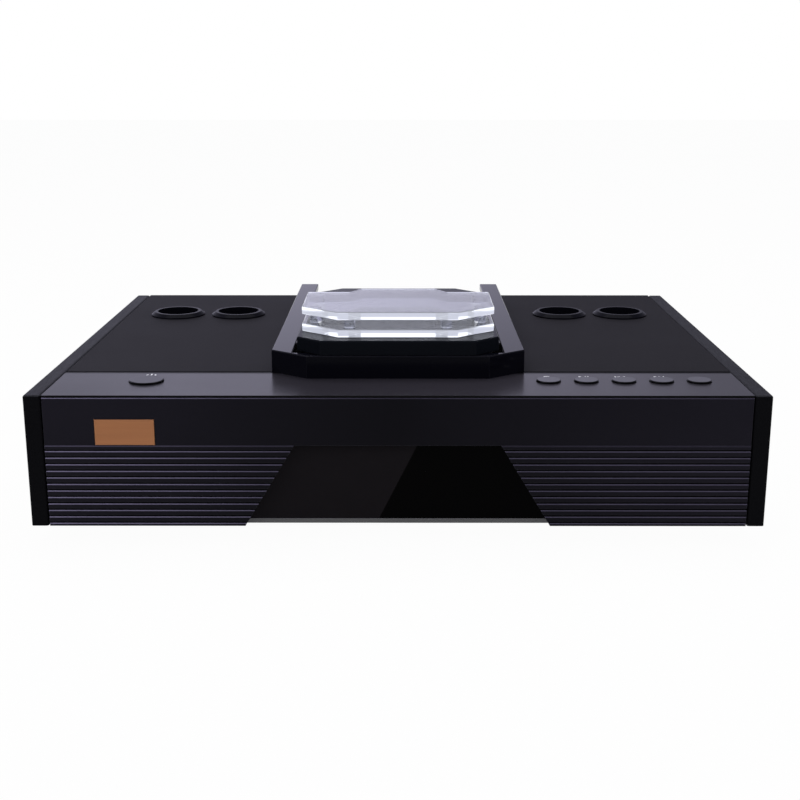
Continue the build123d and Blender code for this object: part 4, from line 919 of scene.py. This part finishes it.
def lifted(mesh, height):
    """A mesh moved up the screw's axis."""
    offset = screw_node("ShaderNodeCombineXYZ", Z=height)
    return screw_node("GeometryNodeTransform", Geometry=mesh,
                      Translation=offset.outputs[0]).outputs[0]


def screw_attribute(name, kind):
    """What a screw's seat carries under a name."""
    node = screw_tree.nodes.new("GeometryNodeInputNamedAttribute")
    node.data_type = kind
    node.inputs["Name"].default_value = name
    return node.outputs["Attribute"]


head_radius = screw_in.outputs["Head Radius"]
head_height = screw_in.outputs["Head Height"]
shank_length = screw_in.outputs["Shank Length"]
recess_width = screw_in.outputs["Recess Width"]
rim_height = math_node(screw_tree, "MULTIPLY", head_height, rim_share)
dome_height = math_node(screw_tree, "MULTIPLY", head_height, 1.0 - rim_share)
dome_top = math_node(screw_tree, "MULTIPLY", head_radius, crown_share)
rim = screw_node("GeometryNodeMeshCylinder", Radius=head_radius, Depth=rim_height)
dome = screw_node("GeometryNodeMeshCone", Radius_Bottom=head_radius, Radius_Top=dome_top,
                  Depth=dome_height)
shank = screw_node("GeometryNodeMeshCylinder", Radius=screw_in.outputs["Shank Radius"],
                   Depth=shank_length)
rim_middle = math_node(screw_tree, "MULTIPLY", rim_height, 0.5)
half_dome = math_node(screw_tree, "MULTIPLY", dome_height, 0.5)
dome_middle = math_node(screw_tree, "ADD", rim_height, half_dome)
shank_middle = math_node(screw_tree, "MULTIPLY", shank_length, -0.5)
solid = screw_tree.nodes.new("GeometryNodeMeshBoolean")
solid.operation = "UNION"
for part, height in ((rim, rim_middle), (dome, dome_middle), (shank, shank_middle)):
    screw_tree.links.new(lifted(part.outputs["Mesh"], height), solid.inputs["Mesh 2"])
recess_long = math_node(screw_tree, "MULTIPLY", head_radius, recess_share)
recess = screw_tree.nodes.new("GeometryNodeMeshBoolean")
recess.operation = "DIFFERENCE"
screw_tree.links.new(solid.outputs["Mesh"], recess.inputs["Mesh 1"])
for along, across in ((recess_long, recess_width), (recess_width, recess_long)):
    extent = screw_node("ShaderNodeCombineXYZ", X=along, Y=across, Z=head_height)
    blade = screw_node("GeometryNodeMeshCube", Size=extent.outputs[0])
    screw_tree.links.new(lifted(blade.outputs["Mesh"], head_height), recess.inputs["Mesh 2"])
seat_facing = screw_attribute("facing", "FLOAT_VECTOR")
turn = screw_node("FunctionNodeAlignRotationToVector", Vector=seat_facing)
turn.axis = "Z"
placed = screw_node("GeometryNodeInstanceOnPoints", Points=screw_in.outputs["Points"],
                    Instance=recess.outputs["Mesh"], Rotation=turn.outputs["Rotation"],
                    Scale=screw_attribute("grade", "FLOAT"))
real = screw_node("GeometryNodeRealizeInstances", Geometry=placed.outputs["Instances"])
coated = screw_node("GeometryNodeSetMaterial", Geometry=real.outputs["Geometry"],
                    Material=screw_in.outputs["Finish"])
screw_tree.links.new(coated.outputs["Geometry"], screw_out.inputs["Screws"])

seats = [((x, rear_face, z), (0.0, 1.0, 0.0), 1.0) for x in rear_across for z in rear_up]
seats += [((side * tray_end, y, tray_up), (-side, 0.0, 0.0), 1.0)
          for side in (-1.0, 1.0) for y in tray_along]
seats += [((side * foot_across, y, foot_seat), (0.0, 0.0, -1.0), foot_grade)
          for side in (-1.0, 1.0) for y in foot_along]
seat_mesh = bpy.data.meshes.new("screw_seats")
seat_mesh.from_pydata([seat[0] for seat in seats], [], [])
seat_mesh.attributes.new("facing", "FLOAT_VECTOR", "POINT")
seat_mesh.attributes.new("grade", "FLOAT", "POINT")
for index, seat in enumerate(seats):
    seat_mesh.attributes["facing"].data[index].vector = seat[1]
    seat_mesh.attributes["grade"].data[index].value = seat[2]
seat_points = bpy.data.objects.new("screw_seats", seat_mesh)
scene.collection.objects.link(seat_points)
screw_modifier = seat_points.modifiers.new("screws", "NODES")
screw_modifier.node_group = screw_tree
for item in screw_tree.interface.items_tree:
    if item.in_out == "INPUT" and item.name in screw_sizes:
        screw_modifier[item.identifier] = screw_sizes[item.name]
    if item.in_out == "INPUT" and item.name == "Finish":
        screw_modifier[item.identifier] = steel
graph = bpy.context.evaluated_depsgraph_get()
screw_mesh = bpy.data.meshes.new_from_object(seat_points.evaluated_get(graph))
bpy.data.objects.remove(seat_points)
case_piece(screw_mesh, "cross_screws", "bright_steel", "case_screws")
